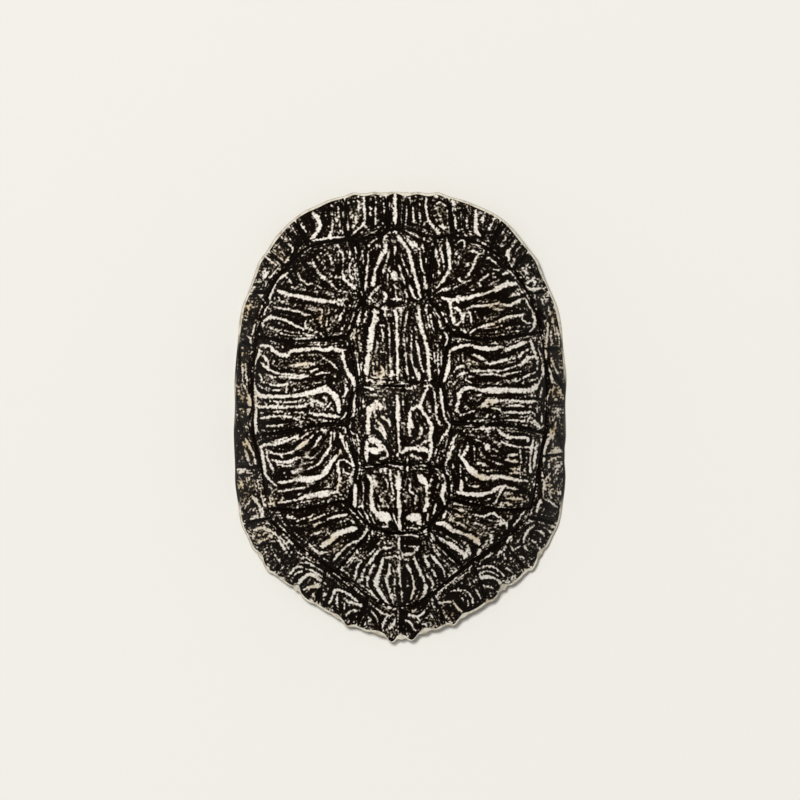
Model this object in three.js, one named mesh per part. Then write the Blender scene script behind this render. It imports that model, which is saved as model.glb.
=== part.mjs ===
// The carapace of a pond slider: the empty upper shell of a turtle, lying on its rim.
// Millimetres, +Z up, the neck towards +Y and the tail towards -Y.
// Seams between the horn scutes are sunk grooves, and each scute swells a little between its seams.
import * as THREE from 'three';

// The dome
const CROWN_HEIGHT = 79;
const CENTRE = [0, -4]; // plan position of the top of the dome
const HALF_WIDTH = 92;
const NECK_REACH = 129; // from the centre to the rim over the neck
const TAIL_REACH = 119;

// The rim's underside lies flat on the ground along the flanks, and rises over the neck and the tail
const LIP_THICKNESS = 2.6; // from the underside of the rim to its top edge
const REST_HALF_LENGTH = 47; // the flat part's reach each side of the middle
const NECK_LIFT = 10;
const NECK_RISE_LENGTH = 72;
const TAIL_LIFT = 8;
const TAIL_RISE_LENGTH = 62;

// Relief of the outside
const SEAM_DEPTH = 0.9;
const GROOVE_DEPTH = 1.2; // the groove between the marginal scutes and the dome
const SHOULDER = 1.9; // from a seam to the level of its scute
const SHOULDER_SHARE = 0.75; // the shoulder stays at least this far out on a small scute
const FLANK_SHARE = 0.55; // where a large scute has most of its swell
const SWELL = 1.1; // how far a large scute rises in its middle
const MARGINAL_SWELL = 0.5;
const KEEL_HEIGHT = 1.5;
const KEEL_HALF_WIDTH = 3.2;

// The rim and the walls
const NECK_EDGE = 0.5; // how far the pale edge stands out past the dark horn over the neck
const SIDE_EDGE = 1.4; // the same along the flanks and the tail
const EDGE_ROUNDING = 1.2;
const REST_WIDTH = 5.2; // from the outline to the inner side of the flat underside of the rim
const WALL = 3.8; // thickness of the dome
const RIM_WALL = 6.2; // thickness where the marginal bones meet the dome
const RIB_RELIEF = 1.3;
const RIB_PITCH = 20;

// The vertebral column under the roof
const SPINE_FRONT = 88;
const SPINE_BACK = -88;
const SPINE_DROP = 8;
const SPINE_END_DROP = 2;
const SPINE_TAPER = 25; // its depth fades over this length at each end
const SPINE_HALF_WIDTH = 5.5;
const SPINE_FLARE = 2.5; // the foot of the column is this much wider on each side

// How finely the curves are sampled
const SEAM_STEP = 7;
const GROOVE_STEP = 6.5;
const RIM_STEP = 4.2;
const COLUMN_STEP = 5; // between the columns of faces under the roof, along the spine
const COLUMN_SPREAD = 0.8; // the columns stand this much closer together on the spine than at the rim

// Plan positions [x, y] of the corners where seams meet. rim0 to rim11 are the outer ends of the seams
// of the marginal scutes, from the neck to the tail, and foot0 to foot11 their inner ends, on the groove
// round the dome.
const corners = {
  rim0L: [-8, 123.8], rim1L: [-31, 122.6], rim2L: [-58.8, 110], rim3L: [-73.5, 92.5],
  rim4L: [-84.2, 69], rim5L: [-89.8, 43], rim6L: [-91.4, 6.8], rim7L: [-91.3, -27],
  rim8L: [-87.8, -58.6], rim9L: [-70.3, -86], rim10L: [-46.8, -103], rim11L: [-24.8, -115.2],
  rim0R: [2.5, 123.8], rim1R: [27, 122.3], rim2R: [55.8, 110.2], rim3R: [71.5, 92.5],
  rim4R: [82.8, 70], rim5R: [89.8, 38.5], rim6R: [90.9, 9], rim7R: [90.2, -20],
  rim8R: [87.3, -58.5], rim9R: [69.8, -84.5], rim10R: [48.3, -101.8], rim11R: [25.8, -114.2],
  foot0L: [-6.5, 104], foot1L: [-30, 99], foot2L: [-50.5, 95], foot3L: [-63, 84],
  foot4L: [-72.5, 70], foot5L: [-80.4, 39.5], foot6L: [-82.2, 6], foot7L: [-77.3, -26.5],
  foot8L: [-71.6, -55], foot9L: [-58, -69], foot10L: [-40.5, -81.6], foot11L: [-17.5, -98],
  foot0R: [1.5, 105], foot1R: [28, 101.2], foot2R: [50, 93.5], foot3R: [61.5, 82],
  foot4R: [71, 69], foot5R: [79.6, 38.5], foot6R: [81.2, 8], foot7R: [77.8, -21],
  foot8R: [70.4, -54.6], foot9R: [57, -67.5], foot10R: [39.5, -78.8], foot11R: [17.5, -96.5],
  rimTail: [0.3, -120.5], footTail: [-0.2, -104.5],

  // where the seams of the costal and vertebral scutes run out into the groove
  neckL: [-24, 98.3], costal1L: [-79, 45], costal2L: [-80.8, -9.5], costal3L: [-73.4, -50],
  neckR: [19.5, 99.8], costal1R: [77.7, 47.5], costal2R: [79.8, -8], costal3R: [72.3, -50],
  tailL: [-36, -85], tailR: [34.5, -82.8],

  // the side point of a vertebral scute, and the ends of the seam behind it
  side2L: [-28.9, 44.8], side3L: [-29.5, -3], side4L: [-28.5, -46],
  side2R: [28.6, 45.9], side3R: [29, -2.5], side4R: [27.5, -45],
  cross1L: [-19.5, 65.5], cross2L: [-24, 18.8], cross3L: [-23.6, -26.9], cross4L: [-15.5, -60.5],
  cross1R: [15.5, 66.5], cross2R: [22, 21.3], cross3R: [23.9, -26.9], cross4R: [15.3, -60.3],
};

// Smooth lines through corners and plain points. The outer edge is scalloped: behind the flanks each
// marginal scute ends in two points with a notch between them.
const rimLine = [
  'rimTail', [6.3, -123], [10, -119.5], [13.3, -116.8], [20, -117],
  'rim11R', [29.5, -114.6], [31.8, -112.3], [34.8, -108.9], [39, -107.6], [43.5, -105.3],
  'rim10R', [51.5, -100.8], [54.5, -96.5], [56, -92.3], [61, -92.3], [66.5, -88.3],
  'rim9R', [72.6, -84], [75.5, -79.5], [77, -74.6], [81, -71], [84, -65],
  'rim8R', [89.8, -45], [91, -32],
  'rim7R', [91.2, -10],
  'rim6R', [91.5, 22],
  'rim5R', [88.6, 52], [86.3, 62],
  'rim4R', [79.6, 77], [75.6, 87],
  'rim3R', [66.4, 99], [61.5, 105],
  'rim2R', [50, 113.8], [43, 117], [35, 120.2],
  'rim1R', [21, 124.6], [15.2, 123.9], [9, 124.9],
  'rim0R', [-0.4, 125], [-5.4, 125],
  'rim0L', [-14, 124.9], [-20.3, 123.9], [-26, 124.5],
  'rim1L', [-39, 120.6], [-46.5, 117.2], [-53, 114.3],
  'rim2L', [-64, 105.3], [-69.3, 99.3],
  'rim3L', [-78, 86.5], [-81.2, 77.5],
  'rim4L', [-87, 62.5], [-89, 53],
  'rim5L', [-91.6, 20],
  'rim6L', [-92, -8],
  'rim7L', [-91.2, -36], [-89.8, -46],
  'rim8L', [-84.3, -66], [-81.5, -72.3], [-77.3, -76], [-75.7, -80.5], [-73, -84.9],
  'rim9L', [-65, -90], [-60.3, -93], [-56.8, -92.8], [-55, -97.5], [-51, -101.3],
  'rim10L', [-42, -106.3], [-38, -108.3], [-34.8, -109.6], [-32, -112.5], [-29.5, -115.2],
  'rim11L', [-19, -117.8], [-14, -118.2], [-9, -120], [-4.8, -124],
];
const sideStops = [
  'neck', 'foot1', 'foot2', 'foot3', 'foot4', 'costal1', 'foot5', 'foot6', 'costal2',
  'foot7', 'costal3', 'foot8', 'foot9', 'foot10', 'tail', 'foot11',
];
const onSide = (names, side) => names.map((name) => name + side);
const grooveLine = [
  'footTail', ...onSide(sideStops, 'R').reverse(), 'foot0R', 'foot0L', ...onSide(sideStops, 'L'),
];
const seams = [
  ['cross1L', [-11.2, 62], [-2.9, 60.5], [6.5, 62.5], 'cross1R'],
  ['cross2L', [-11.8, 17.9], [-2.9, 17.2], [12, 18.6], 'cross2R'],
  ['cross3L', [-8.5, -24.8], [0.2, -25.3], [14, -25.2], 'cross3R'],
  ['cross4L', [-8.5, -62.5], [-0.2, -63.6], [8.9, -62.5], 'cross4R'],
  ['footTail', 'rimTail'],

  // beside the vertebral scutes, from the neck to the tail
  ['neckL', [-22.5, 80], 'cross1L'], ['cross1L', [-24.6, 55.5], 'side2L'], ['side2L', [-25.4, 32], 'cross2L'],
  ['cross2L', [-27.4, 8], 'side3L'], ['side3L', [-26.4, -15], 'cross3L'], ['cross3L', [-26.4, -37], 'side4L'],
  ['side4L', [-22, -54.5], 'cross4L'], ['cross4L', [-24.8, -72.5], 'tailL'],
  ['neckR', [16.8, 82], 'cross1R'], ['cross1R', [22.6, 56], 'side2R'], ['side2R', [24.6, 33], 'cross2R'],
  ['cross2R', [26, 9], 'side3R'], ['side3R', [26.2, -15], 'cross3R'], ['cross3R', [26, -36], 'side4R'],
  ['side4R', [21.6, -53.5], 'cross4R'], ['cross4R', [24, -71], 'tailR'],

  // between the costal scutes, outwards
  ['side2L', [-44.4, 43.4], [-61, 42.6], 'costal1L'], ['side2R', [44.5, 43.8], [60, 45], 'costal1R'],
  ['side3L', [-44.4, -3.6], [-64, -7.4], 'costal2L'], ['side3R', [46, -3.4], [66, -4.6], 'costal2R'],
  ['side4L', [-40, -47], [-55, -50.6], 'costal3L'], ['side4R', [43, -47.8], [56, -50.6], 'costal3R'],
];
for (const side of ['L', 'R']) {
  for (let number = 0; number < 12; number += 1) seams.push([`foot${number}${side}`, `rim${number}${side}`]);
}

// Heights of the dome along three ways out from its top:
// [share of the way to the rim, share of the height left].
const sideProfile = [
  [0, 1], [0.15, 0.99], [0.283, 0.95], [0.5, 0.842], [0.696, 0.66],
  [0.8, 0.525], [0.9, 0.315], [0.95, 0.17], [1, 0],
];
const neckProfile = [
  [0, 1], [0.169, 0.962], [0.35, 0.867], [0.5, 0.74], [0.65, 0.565],
  [0.75, 0.42], [0.838, 0.27], [0.92, 0.13], [1, 0],
];
const tailProfile = [
  [0, 1], [0.18, 0.975], [0.35, 0.905], [0.51, 0.785], [0.65, 0.6],
  [0.75, 0.43], [0.86, 0.225], [0.93, 0.105], [1, 0],
];

const clamp = (value, low, high) => Math.min(high, Math.max(low, value));
const mix = (a, b, share) => a + (b - a) * share;

function ease(share) {
  const t = clamp(share, 0, 1);
  return t * t * (3 - 2 * t);
}

// A smooth curve through a profile's points, read at one place.
function readProfile(profile, at) {
  const last = profile.length - 2;
  let i = 0;
  while (i < last && at > profile[i + 1][0]) i += 1;
  const [x0, y0] = profile[i];
  const [x1, y1] = profile[i + 1];
  const before = profile[Math.max(i - 1, 0)];
  const after = profile[Math.min(i + 2, last + 1)];
  const slope0 = i === 0 ? 0 : (y1 - before[1]) / (x1 - before[0]);
  const slope1 = (after[1] - y0) / (after[0] - x0);
  const width = x1 - x0;
  const t = (at - x0) / width;
  const bend = t * (1 - t) * width * ((1 - t) * slope0 - t * slope1);
  return mix(y0, y1, ease(t)) + bend;
}

// The outline without its scallops, as the distance from the centre in each direction.
const outlineCurve = new THREE.CatmullRomCurve3(
  rimLine.filter((stop) => typeof stop === 'string').map((name) => new THREE.Vector3(...corners[name], 0)),
  true,
  'centripetal',
);
const outline = outlineCurve.getPoints(400).map((point) => {
  const [dx, dy] = [point.x - CENTRE[0], point.y - CENTRE[1]];
  return { angle: Math.atan2(dy, dx), reach: Math.hypot(dx, dy) };
});
outline.sort((a, b) => a.angle - b.angle);

function outlineReach(angle) {
  const turn = (a) => (a + 4 * Math.PI) % (2 * Math.PI);
  const wrapped = turn(angle + Math.PI) - Math.PI;
  const after = Math.max(0, outline.findIndex((entry) => entry.angle > wrapped));
  const next = outline[after];
  const previous = outline[(after + outline.length - 1) % outline.length];
  const span = turn(next.angle - previous.angle);
  return span === 0 ? next.reach : mix(previous.reach, next.reach, turn(angle - previous.angle) / span);
}

// Height of the rim's underside: on the ground along the flanks, lifted over the neck and the tail.
function rimLift(y) {
  const neck = NECK_LIFT * ease((y - REST_HALF_LENGTH) / NECK_RISE_LENGTH);
  const tail = TAIL_LIFT * ease((-y - REST_HALF_LENGTH) / TAIL_RISE_LENGTH);
  return neck + tail;
}

// Height of the smooth dome, without seams and scutes.
function domeHeight(x, y) {
  const [dx, dy] = [x - CENTRE[0], y - CENTRE[1]];
  const distance = Math.hypot(dx, dy);
  if (distance < 1e-6) return CROWN_HEIGHT;
  const reach = outlineReach(Math.atan2(dy, dx));
  const share = Math.min(distance / reach, 1);
  const along = (dy / (dy > 0 ? NECK_REACH : TAIL_REACH)) ** 2;
  const across = (dx / HALF_WIDTH) ** 2;
  const endShare = along / (along + across);
  const endProfile = dy > 0 ? neckProfile : tailProfile;
  const left = mix(readProfile(sideProfile, share), readProfile(endProfile, share), endShare);
  const rimTop = rimLift(CENTRE[1] + (dy * reach) / distance) + LIP_THICKNESS;
  return mix(rimTop, CROWN_HEIGHT, left);
}

function domeNormal(x, y) {
  const step = 0.5;
  const slopeX = (domeHeight(x + step, y) - domeHeight(x - step, y)) / (2 * step);
  const slopeY = (domeHeight(x, y + step) - domeHeight(x, y - step)) / (2 * step);
  return new THREE.Vector3(-slopeX, -slopeY, 1).normalize();
}

// The mesh: every vertex is made once and shared by the faces around it.
const vertices = [];
const faces = [];

function addVertex(x, y, z) {
  vertices.push([x, y, z]);
  return vertices.length - 1;
}

// A vertex on the dome, raised or sunk square to its surface.
function addOnDome(x, y, rise) {
  const place = new THREE.Vector3(x, y, domeHeight(x, y));
  if (rise !== 0) place.addScaledVector(domeNormal(x, y), rise);
  return addVertex(place.x, place.y, place.z);
}

// Faces between two rings of equal length, the second inside the first, seen from above and anticlockwise.
function bridgeRings(outer, inner) {
  outer.forEach((a, i) => {
    const next = (i + 1) % outer.length;
    const [b, c, d] = [outer[next], inner[next], inner[i]];
    if (a !== b && b !== c) faces.push([a, b, c]);
    if (a !== c && c !== d && d !== a) faces.push([a, c, d]);
  });
}

// Seam lines are sampled once, between one corner and the next, so that neighbours share their vertices.
const cornerVertex = {};
const edges = {};

function traceLine(line, closed, step, rise) {
  const places = line.map((stop) => (typeof stop === 'string' ? corners[stop] : stop));
  const curve = new THREE.CatmullRomCurve3(
    places.map(([x, y]) => new THREE.Vector3(x, y, 0)),
    closed,
    'centripetal',
  );
  const spans = closed ? line.length : line.length - 1;
  let start = null;
  let run = [];
  for (let i = 0; i <= spans; i += 1) {
    const stop = line[i % line.length];
    const [x, y] = places[i % line.length];
    if (typeof stop === 'string') {
      if (!(stop in cornerVertex)) cornerVertex[stop] = addOnDome(x, y, rise);
      run.push(cornerVertex[stop]);
      if (start) {
        edges[`${start}>${stop}`] = run;
        edges[`${stop}>${start}`] = [...run].reverse();
      }
      start = stop;
      run = [cornerVertex[stop]];
    } else {
      run.push(addOnDome(x, y, rise));
    }
    if (i === spans) break;
    const [nextX, nextY] = places[(i + 1) % line.length];
    const pieces = Math.max(1, Math.round(Math.hypot(nextX - x, nextY - y) / step));
    for (let k = 1; k < pieces; k += 1) {
      const point = curve.getPoint((i + k / pieces) / spans);
      run.push(addOnDome(point.x, point.y, rise));
    }
  }
}

traceLine(rimLine, true, RIM_STEP, 0);
traceLine(grooveLine, true, GROOVE_STEP, -GROOVE_DEPTH);
for (const seam of seams) traceLine(seam, false, SEAM_STEP, -SEAM_DEPTH);

function closedLoop(names) {
  const loop = names.flatMap((name, i) => edges[`${name}>${names[(i + 1) % names.length]}`].slice(0, -1));
  const area = loop.reduce((sum, vertex, i) => {
    const [x0, y0] = vertices[vertex];
    const [x1, y1] = vertices[loop[(i + 1) % loop.length]];
    return sum + x0 * y1 - x1 * y0;
  }, 0);
  return area > 0 ? loop : loop.reverse();
}

// One scute: rings that shrink from its seams on to a short middle line, which carries the swell.
// `along` is the middle line's direction in plan, and `length` its share of the scute's extent that way.
function addScute(names, { along, length, swell, keel = 0 }) {
  const loop = closedLoop(names);
  const places = loop.map((vertex) => vertices[vertex]);
  const middle = [0, 1].map((axis) => (
    (Math.min(...places.map((p) => p[axis])) + Math.max(...places.map((p) => p[axis]))) / 2));
  const reachAlong = places.map(([x, y]) => (x - middle[0]) * along[0] + (y - middle[1]) * along[1]);
  const half = (length * (Math.max(...reachAlong) - Math.min(...reachAlong))) / 2;
  const stationCount = Math.max(1, Math.round((2 * half) / SEAM_STEP) + 1);
  const stations = Array.from({ length: stationCount }, (_, i) => (
    stationCount === 1 ? 0 : mix(-half, half, i / (stationCount - 1))));
  const stationPlace = (index) => [
    middle[0] + along[0] * stations[index],
    middle[1] + along[1] * stations[index],
  ];
  const nearest = reachAlong.map((value) => {
    if (stationCount === 1) return 0;
    return Math.round(clamp((value + half) / (2 * half), 0, 1) * (stationCount - 1));
  });
  const ring = (reachOf, rise) => loop.map((_, i) => {
    const [qx, qy] = stationPlace(nearest[i]);
    const [bx, by] = places[i];
    const full = Math.hypot(bx - qx, by - qy);
    const share = reachOf(full) / full;
    return addOnDome(mix(qx, bx, share), mix(qy, by, share), rise);
  });

  const rings = [loop, ring((full) => Math.max(full - SHOULDER, full * SHOULDER_SHARE), 0)];
  if (swell > MARGINAL_SWELL) rings.push(ring((full) => full * FLANK_SHARE, swell * 0.75));
  if (keel > 0) rings.push(ring((full) => Math.min(KEEL_HALF_WIDTH, full / 3), swell));
  rings.slice(1).forEach((inside, i) => bridgeRings(rings[i], inside));
  const inner = rings.at(-1);
  const line = stations.map((_, i) => addOnDome(...stationPlace(i), swell + keel));
  inner.forEach((a, i) => {
    const next = (i + 1) % inner.length;
    const towards = Math.sign(nearest[next] - nearest[i]);
    for (let k = nearest[i]; k !== nearest[next]; k += towards) faces.push([a, line[k + towards], line[k]]);
    faces.push([a, inner[next], line[nearest[next]]]);
  });
}

// The stops along the groove between two of them.
function groove(from, to, side) {
  const stops = onSide(['foot0', ...sideStops], side);
  return stops.slice(stops.indexOf(from), stops.indexOf(to) + 1);
}

const costal = { along: [1, 0], length: 0.42, swell: SWELL };
const vertebral = { along: [0, 1], length: 0.8, swell: SWELL, keel: KEEL_HEIGHT };
const marginal = { along: [1, 0], length: 0, swell: MARGINAL_SWELL };

for (const side of ['L', 'R']) {
  const costals = [
    ['neck', 'costal1', 'side2', 'cross1'],
    ['costal1', 'costal2', 'side3', 'cross2', 'side2'],
    ['costal2', 'costal3', 'side4', 'cross3', 'side3'],
    ['costal3', 'tail', 'cross4', 'side4'],
  ];
  for (const names of costals) {
    const [from, to, ...inside] = onSide(names, side);
    addScute([...groove(from, to, side), ...inside], costal);
  }
  for (let number = 1; number < 12; number += 1) {
    const [before, after] = [number - 1, number];
    const inside = groove(`foot${before}${side}`, `foot${after}${side}`, side).reverse();
    addScute([`rim${before}${side}`, `rim${after}${side}`, ...inside], marginal);
  }
  addScute([`rim11${side}`, 'rimTail', 'footTail', `foot11${side}`], marginal);
}
addScute(['rim0L', 'rim0R', 'foot0R', 'foot0L'], marginal);
addScute(['neckL', 'foot0L', 'foot0R', 'neckR', 'cross1R', 'cross1L'], vertebral);
for (const number of [2, 3, 4]) {
  const [front, back] = [`cross${number - 1}`, `cross${number}`];
  addScute([`${front}L`, `${front}R`, `side${number}R`, `${back}R`, `${back}L`, `side${number}L`], vertebral);
}
addScute(['cross4L', 'cross4R', 'tailR', 'foot11R', 'footTail', 'foot11L', 'tailL'], vertebral);

// The rim's edge: from the horn's edge out to the pale edge, and under to the flat that the shell rests on.
const rimCorners = rimLine.filter((stop) => typeof stop === 'string');
const hornEdge = closedLoop(rimCorners);

function smoothedPlace(loop, i) {
  const at = (offset) => vertices[loop[(i + offset + loop.length) % loop.length]];
  return [0, 1].map((axis) => (at(-1)[axis] + 2 * at(0)[axis] + at(1)[axis]) / 4);
}

const outward = hornEdge.map((_, i) => {
  const [x0, y0] = smoothedPlace(hornEdge, (i + hornEdge.length - 2) % hornEdge.length);
  const [x1, y1] = smoothedPlace(hornEdge, (i + 2) % hornEdge.length);
  const length = Math.hypot(x1 - x0, y1 - y0);
  return [(y1 - y0) / length, (x0 - x1) / length];
});

function rimRing(overhang, heightAt) {
  return hornEdge.map((_, i) => {
    const [x, y] = smoothedPlace(hornEdge, i);
    const edge = mix(SIDE_EDGE, NECK_EDGE, rimLift(Math.max(y, 0)) / NECK_LIFT) - overhang;
    const [px, py] = [x + outward[i][0] * edge, y + outward[i][1] * edge];
    return addVertex(px, py, heightAt(py));
  });
}

const paleEdge = rimRing(0, (y) => rimLift(y) + LIP_THICKNESS / 2);
const underEdge = rimRing(EDGE_ROUNDING, rimLift);
bridgeRings(underEdge, paleEdge);
bridgeRings(paleEdge, hornEdge);

// The hollow underside. Columns of faces run like the ribs, from the vertebral column out to the rim.
function outlinePlace(angle) {
  const reach = outlineReach(angle);
  return [CENTRE[0] + reach * Math.cos(angle), CENTRE[1] + reach * Math.sin(angle)];
}

// The angle at which the outline passes a given y, on the right or the left.
function angleAt(y, side) {
  let [low, high] = [-Math.PI / 2, Math.PI / 2];
  for (let i = 0; i < 40; i += 1) {
    const middle = (low + high) / 2;
    const mirrored = side > 0 ? middle : Math.PI - middle;
    if (outlinePlace(mirrored)[1] < y) low = middle;
    else high = middle;
  }
  return side > 0 ? low : Math.PI - low;
}

const stationTotal = Math.round((SPINE_FRONT - SPINE_BACK) / COLUMN_STEP);
const stationY = (station) => SPINE_FRONT - station * COLUMN_STEP;
const columnAngle = (station, side) => angleAt(stationY(station) / COLUMN_SPREAD, side);
const columns = [];

function addSide(stations, side) {
  for (const station of stations) columns.push({ angle: columnAngle(station, side), station });
}

// The columns round the neck or the tail all start from one end of the spine.
function addFan(from, to, count, station) {
  for (let i = 1; i < count; i += 1) columns.push({ angle: mix(from, to, i / count), station });
}

const neckToTail = Array.from({ length: stationTotal + 1 }, (_, station) => station);
addSide([...neckToTail].reverse(), 1);
addFan(columnAngle(0, 1), columnAngle(0, -1), 10, 0);
addSide(neckToTail, -1);
addFan(columnAngle(stationTotal, -1), columnAngle(stationTotal, 1) + 2 * Math.PI, 6, stationTotal);

// A vertex on the underside, square under a place on the dome.
function addUnderRoof(x, y, thickness) {
  const place = new THREE.Vector3(x, y, domeHeight(x, y)).addScaledVector(domeNormal(x, y), -thickness);
  return addVertex(place.x, place.y, place.z);
}

// A ring under the roof. `reachOf` turns a column's full length into the ring's distance from the spine.
function roofRing(reachOf, thicknessAt) {
  return columns.map(({ angle, station }) => {
    const [bx, by] = outlinePlace(angle);
    const [qx, qy] = [0, stationY(station)];
    const full = Math.hypot(bx - qx, by - qy);
    const share = reachOf(full) / full;
    return addUnderRoof(mix(qx, bx, share), mix(qy, by, share), thicknessAt(station));
  });
}

function ribAt(station) {
  return RIB_RELIEF * (0.5 + 0.5 * Math.cos((2 * Math.PI * stationY(station)) / RIB_PITCH));
}

function spineDropAt(station) {
  const fromEnd = Math.min(station, stationTotal - station) * COLUMN_STEP;
  return mix(SPINE_END_DROP, SPINE_DROP, ease(fromEnd / SPINE_TAPER));
}

const flatInside = columns.map(({ angle }) => {
  const [x, y] = outlinePlace(angle);
  const share = 1 - REST_WIDTH / outlineReach(angle);
  return addVertex(mix(CENTRE[0], x, share), mix(CENTRE[1], y, share), rimLift(y) * 1.2);
});
const roofRings = [
  flatInside,
  roofRing((full) => full * 0.955, () => RIM_WALL - 0.8),
  roofRing((full) => full * 0.88, () => RIM_WALL),
  roofRing((full) => full * 0.78, (station) => WALL + 0.8 + ribAt(station) / 2),
  roofRing((full) => full * 0.6, (station) => WALL + ribAt(station)),
  roofRing((full) => full * 0.4, (station) => WALL + ribAt(station)),
  roofRing((full) => full * 0.22, (station) => WALL + ribAt(station) / 2),
  roofRing(() => SPINE_HALF_WIDTH + SPINE_FLARE, () => WALL),
  roofRing(() => SPINE_HALF_WIDTH, (station) => WALL + spineDropAt(station) * 0.75),
];
roofRings.slice(1).forEach((ring, i) => bridgeRings(ring, roofRings[i]));

const spine = neckToTail.map((station) => addUnderRoof(0, stationY(station), WALL + spineDropAt(station)));
const spineFoot = roofRings.at(-1);
spineFoot.forEach((a, i) => {
  const next = (i + 1) % spineFoot.length;
  const [from, to] = [columns[i].station, columns[next].station];
  const towards = Math.sign(to - from);
  for (let k = from; k !== to; k += towards) faces.push([a, spine[k], spine[k + towards]]);
  faces.push([spineFoot[next], a, spine[to]]);
});

// The flat underside of the rim joins two rings of unequal length, walking round both by angle.
function zipRings(outer, inner) {
  const angleOf = (vertex) => {
    const [x, y] = vertices[vertex];
    return (Math.atan2(y - CENTRE[1], x - CENTRE[0]) + 2.5 * Math.PI) % (2 * Math.PI);
  };
  const startAtLowest = (ring) => {
    const lowest = ring.reduce((best, vertex, i) => (angleOf(vertex) < angleOf(ring[best]) ? i : best), 0);
    return [...ring.slice(lowest), ...ring.slice(0, lowest)];
  };
  const [a, b] = [startAtLowest(outer), startAtLowest(inner)];
  const angleAfter = (ring, i) => (i < ring.length ? angleOf(ring[i]) : angleOf(ring[0]) + 2 * Math.PI);
  let [i, j] = [0, 0];
  while (i < a.length || j < b.length) {
    const [outerNow, innerNow] = [a[i % a.length], b[j % b.length]];
    const stepOuter = j >= b.length || (i < a.length && angleAfter(a, i + 1) <= angleAfter(b, j + 1));
    if (stepOuter) {
      i += 1;
      faces.push([a[i % a.length], outerNow, innerNow]);
    } else {
      j += 1;
      faces.push([outerNow, innerNow, b[j % b.length]]);
    }
  }
}
zipRings(underEdge, flatInside);

// The origin is under the middle of the shell.
const box = new THREE.Box3().setFromPoints(vertices.map((place) => new THREE.Vector3(...place)));
const shift = box.getCenter(new THREE.Vector3()).negate().setZ(-box.min.z);

const geometry = new THREE.BufferGeometry();
geometry.setAttribute('position', new THREE.Float32BufferAttribute(vertices.flat(), 3));
geometry.setIndex(faces.flat());
geometry.translate(shift.x, shift.y, shift.z);
geometry.computeVertexNormals();

const horn = new THREE.MeshStandardMaterial({ color: 0x2a1f16, roughness: 0.5, metalness: 0 });
const carapace = new THREE.Mesh(geometry, horn);
carapace.name = 'carapace';

const part = new THREE.Group();
part.name = 'turtle_shell';
part.add(carapace);

export default part;
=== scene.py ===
"""The carapace of a pond slider: bone shell, horn scutes and their cream markings.

Plan positions are in millimetres, the neck towards +Y. Meshes are made in millimetres and scaled to metres.
"""

import math

import bpy
import numpy as np
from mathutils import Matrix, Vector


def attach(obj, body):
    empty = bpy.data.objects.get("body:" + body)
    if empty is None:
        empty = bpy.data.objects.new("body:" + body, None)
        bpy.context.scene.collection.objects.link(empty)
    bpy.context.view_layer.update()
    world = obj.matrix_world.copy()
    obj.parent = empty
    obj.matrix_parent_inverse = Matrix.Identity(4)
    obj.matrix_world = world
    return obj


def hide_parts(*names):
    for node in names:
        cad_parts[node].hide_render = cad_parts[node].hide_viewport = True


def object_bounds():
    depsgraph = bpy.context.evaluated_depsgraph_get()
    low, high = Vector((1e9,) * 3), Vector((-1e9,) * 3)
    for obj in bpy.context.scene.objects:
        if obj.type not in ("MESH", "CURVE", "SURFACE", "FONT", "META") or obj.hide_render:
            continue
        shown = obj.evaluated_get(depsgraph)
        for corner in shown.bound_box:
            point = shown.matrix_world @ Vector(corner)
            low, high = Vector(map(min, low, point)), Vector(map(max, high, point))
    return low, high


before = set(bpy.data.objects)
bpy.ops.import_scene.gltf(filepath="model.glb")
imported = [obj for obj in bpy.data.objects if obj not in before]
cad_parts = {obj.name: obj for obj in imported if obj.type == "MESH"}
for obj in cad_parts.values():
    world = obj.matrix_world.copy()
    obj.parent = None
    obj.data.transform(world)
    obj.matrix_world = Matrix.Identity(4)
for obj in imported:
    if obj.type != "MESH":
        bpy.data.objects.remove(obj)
cad_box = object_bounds()

MM = 0.001
TINY = 1e-6  # stands in for a length of nothing where something is divided by it

# The dome, as the solid has it
CROWN_HEIGHT = 79.0
CENTRE = np.array([0.0, -4.0])
HALF_WIDTH = 92.0
NECK_REACH = 129.0
TAIL_REACH = 119.0
LIP_THICKNESS = 2.6
REST_HALF_LENGTH = 47.0
NECK_LIFT = 10.0
NECK_RISE_LENGTH = 72.0
TAIL_LIFT = 8.0
TAIL_RISE_LENGTH = 62.0
OUTLINE_STEP = 1.0
SLOPE_STEP = 0.5  # the dome's slope is taken over this length each way

# The horn scutes
MESH_STEP = 0.46
MESH_CROWDING = 1.15  # the power by which rings of vertices stand closer together near the seams
FEWEST_RINGS = 8
SEAM_DEPTH = 0.9
SEAM_GAP = 0.3  # between two scutes, at the bottom of their seam
SHOULDER = 1.9
SHOULDER_CURVE = 1.5
PLATE_FOOT = 1.9  # a scute reaches this far under the level of the dome
UNDERSIDE_RINGS = (0.7, 0.35)
SWELL = 1.1
MARGINAL_SWELL = 0.5
MARGINALS_A_SIDE = 11  # not counting the tail scute
VERTEBRAL_SEED = 10
COSTAL_SEED = {"L": 20, "R": 25}
MARGINAL_SEED = {"L": 30, "R": 42}
TAIL_SEED = {"L": 60, "R": 61}
NUCHAL_SEED = 62
VERTEBRAL_LINE = 0.8  # the middle line that carries the swell, as a share of the scute
COSTAL_LINE = 0.42
KEEL_HEIGHT = 1.2
KEEL_HALF_WIDTH = 3.2
KEEL_RISE = 9.0  # the keel comes up over this length from a seam
RING_PITCH = 1.35  # between growth rings
RING_RELIEF = 0.1
RING_RISE = 1.5  # their relief comes up over this length from a seam
RING_FALL_START = 6.0
RING_FALL_LENGTH = 8.0
RING_FALL = 0.75
RING_WOBBLE = 1.6  # how far a ring strays, in radians of its wave
RING_WOBBLE_SIZE = 9.0
LUMP_RELIEF = 0.16
LUMP_SIZE = 7.0
LUMP_SEED = 50
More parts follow.
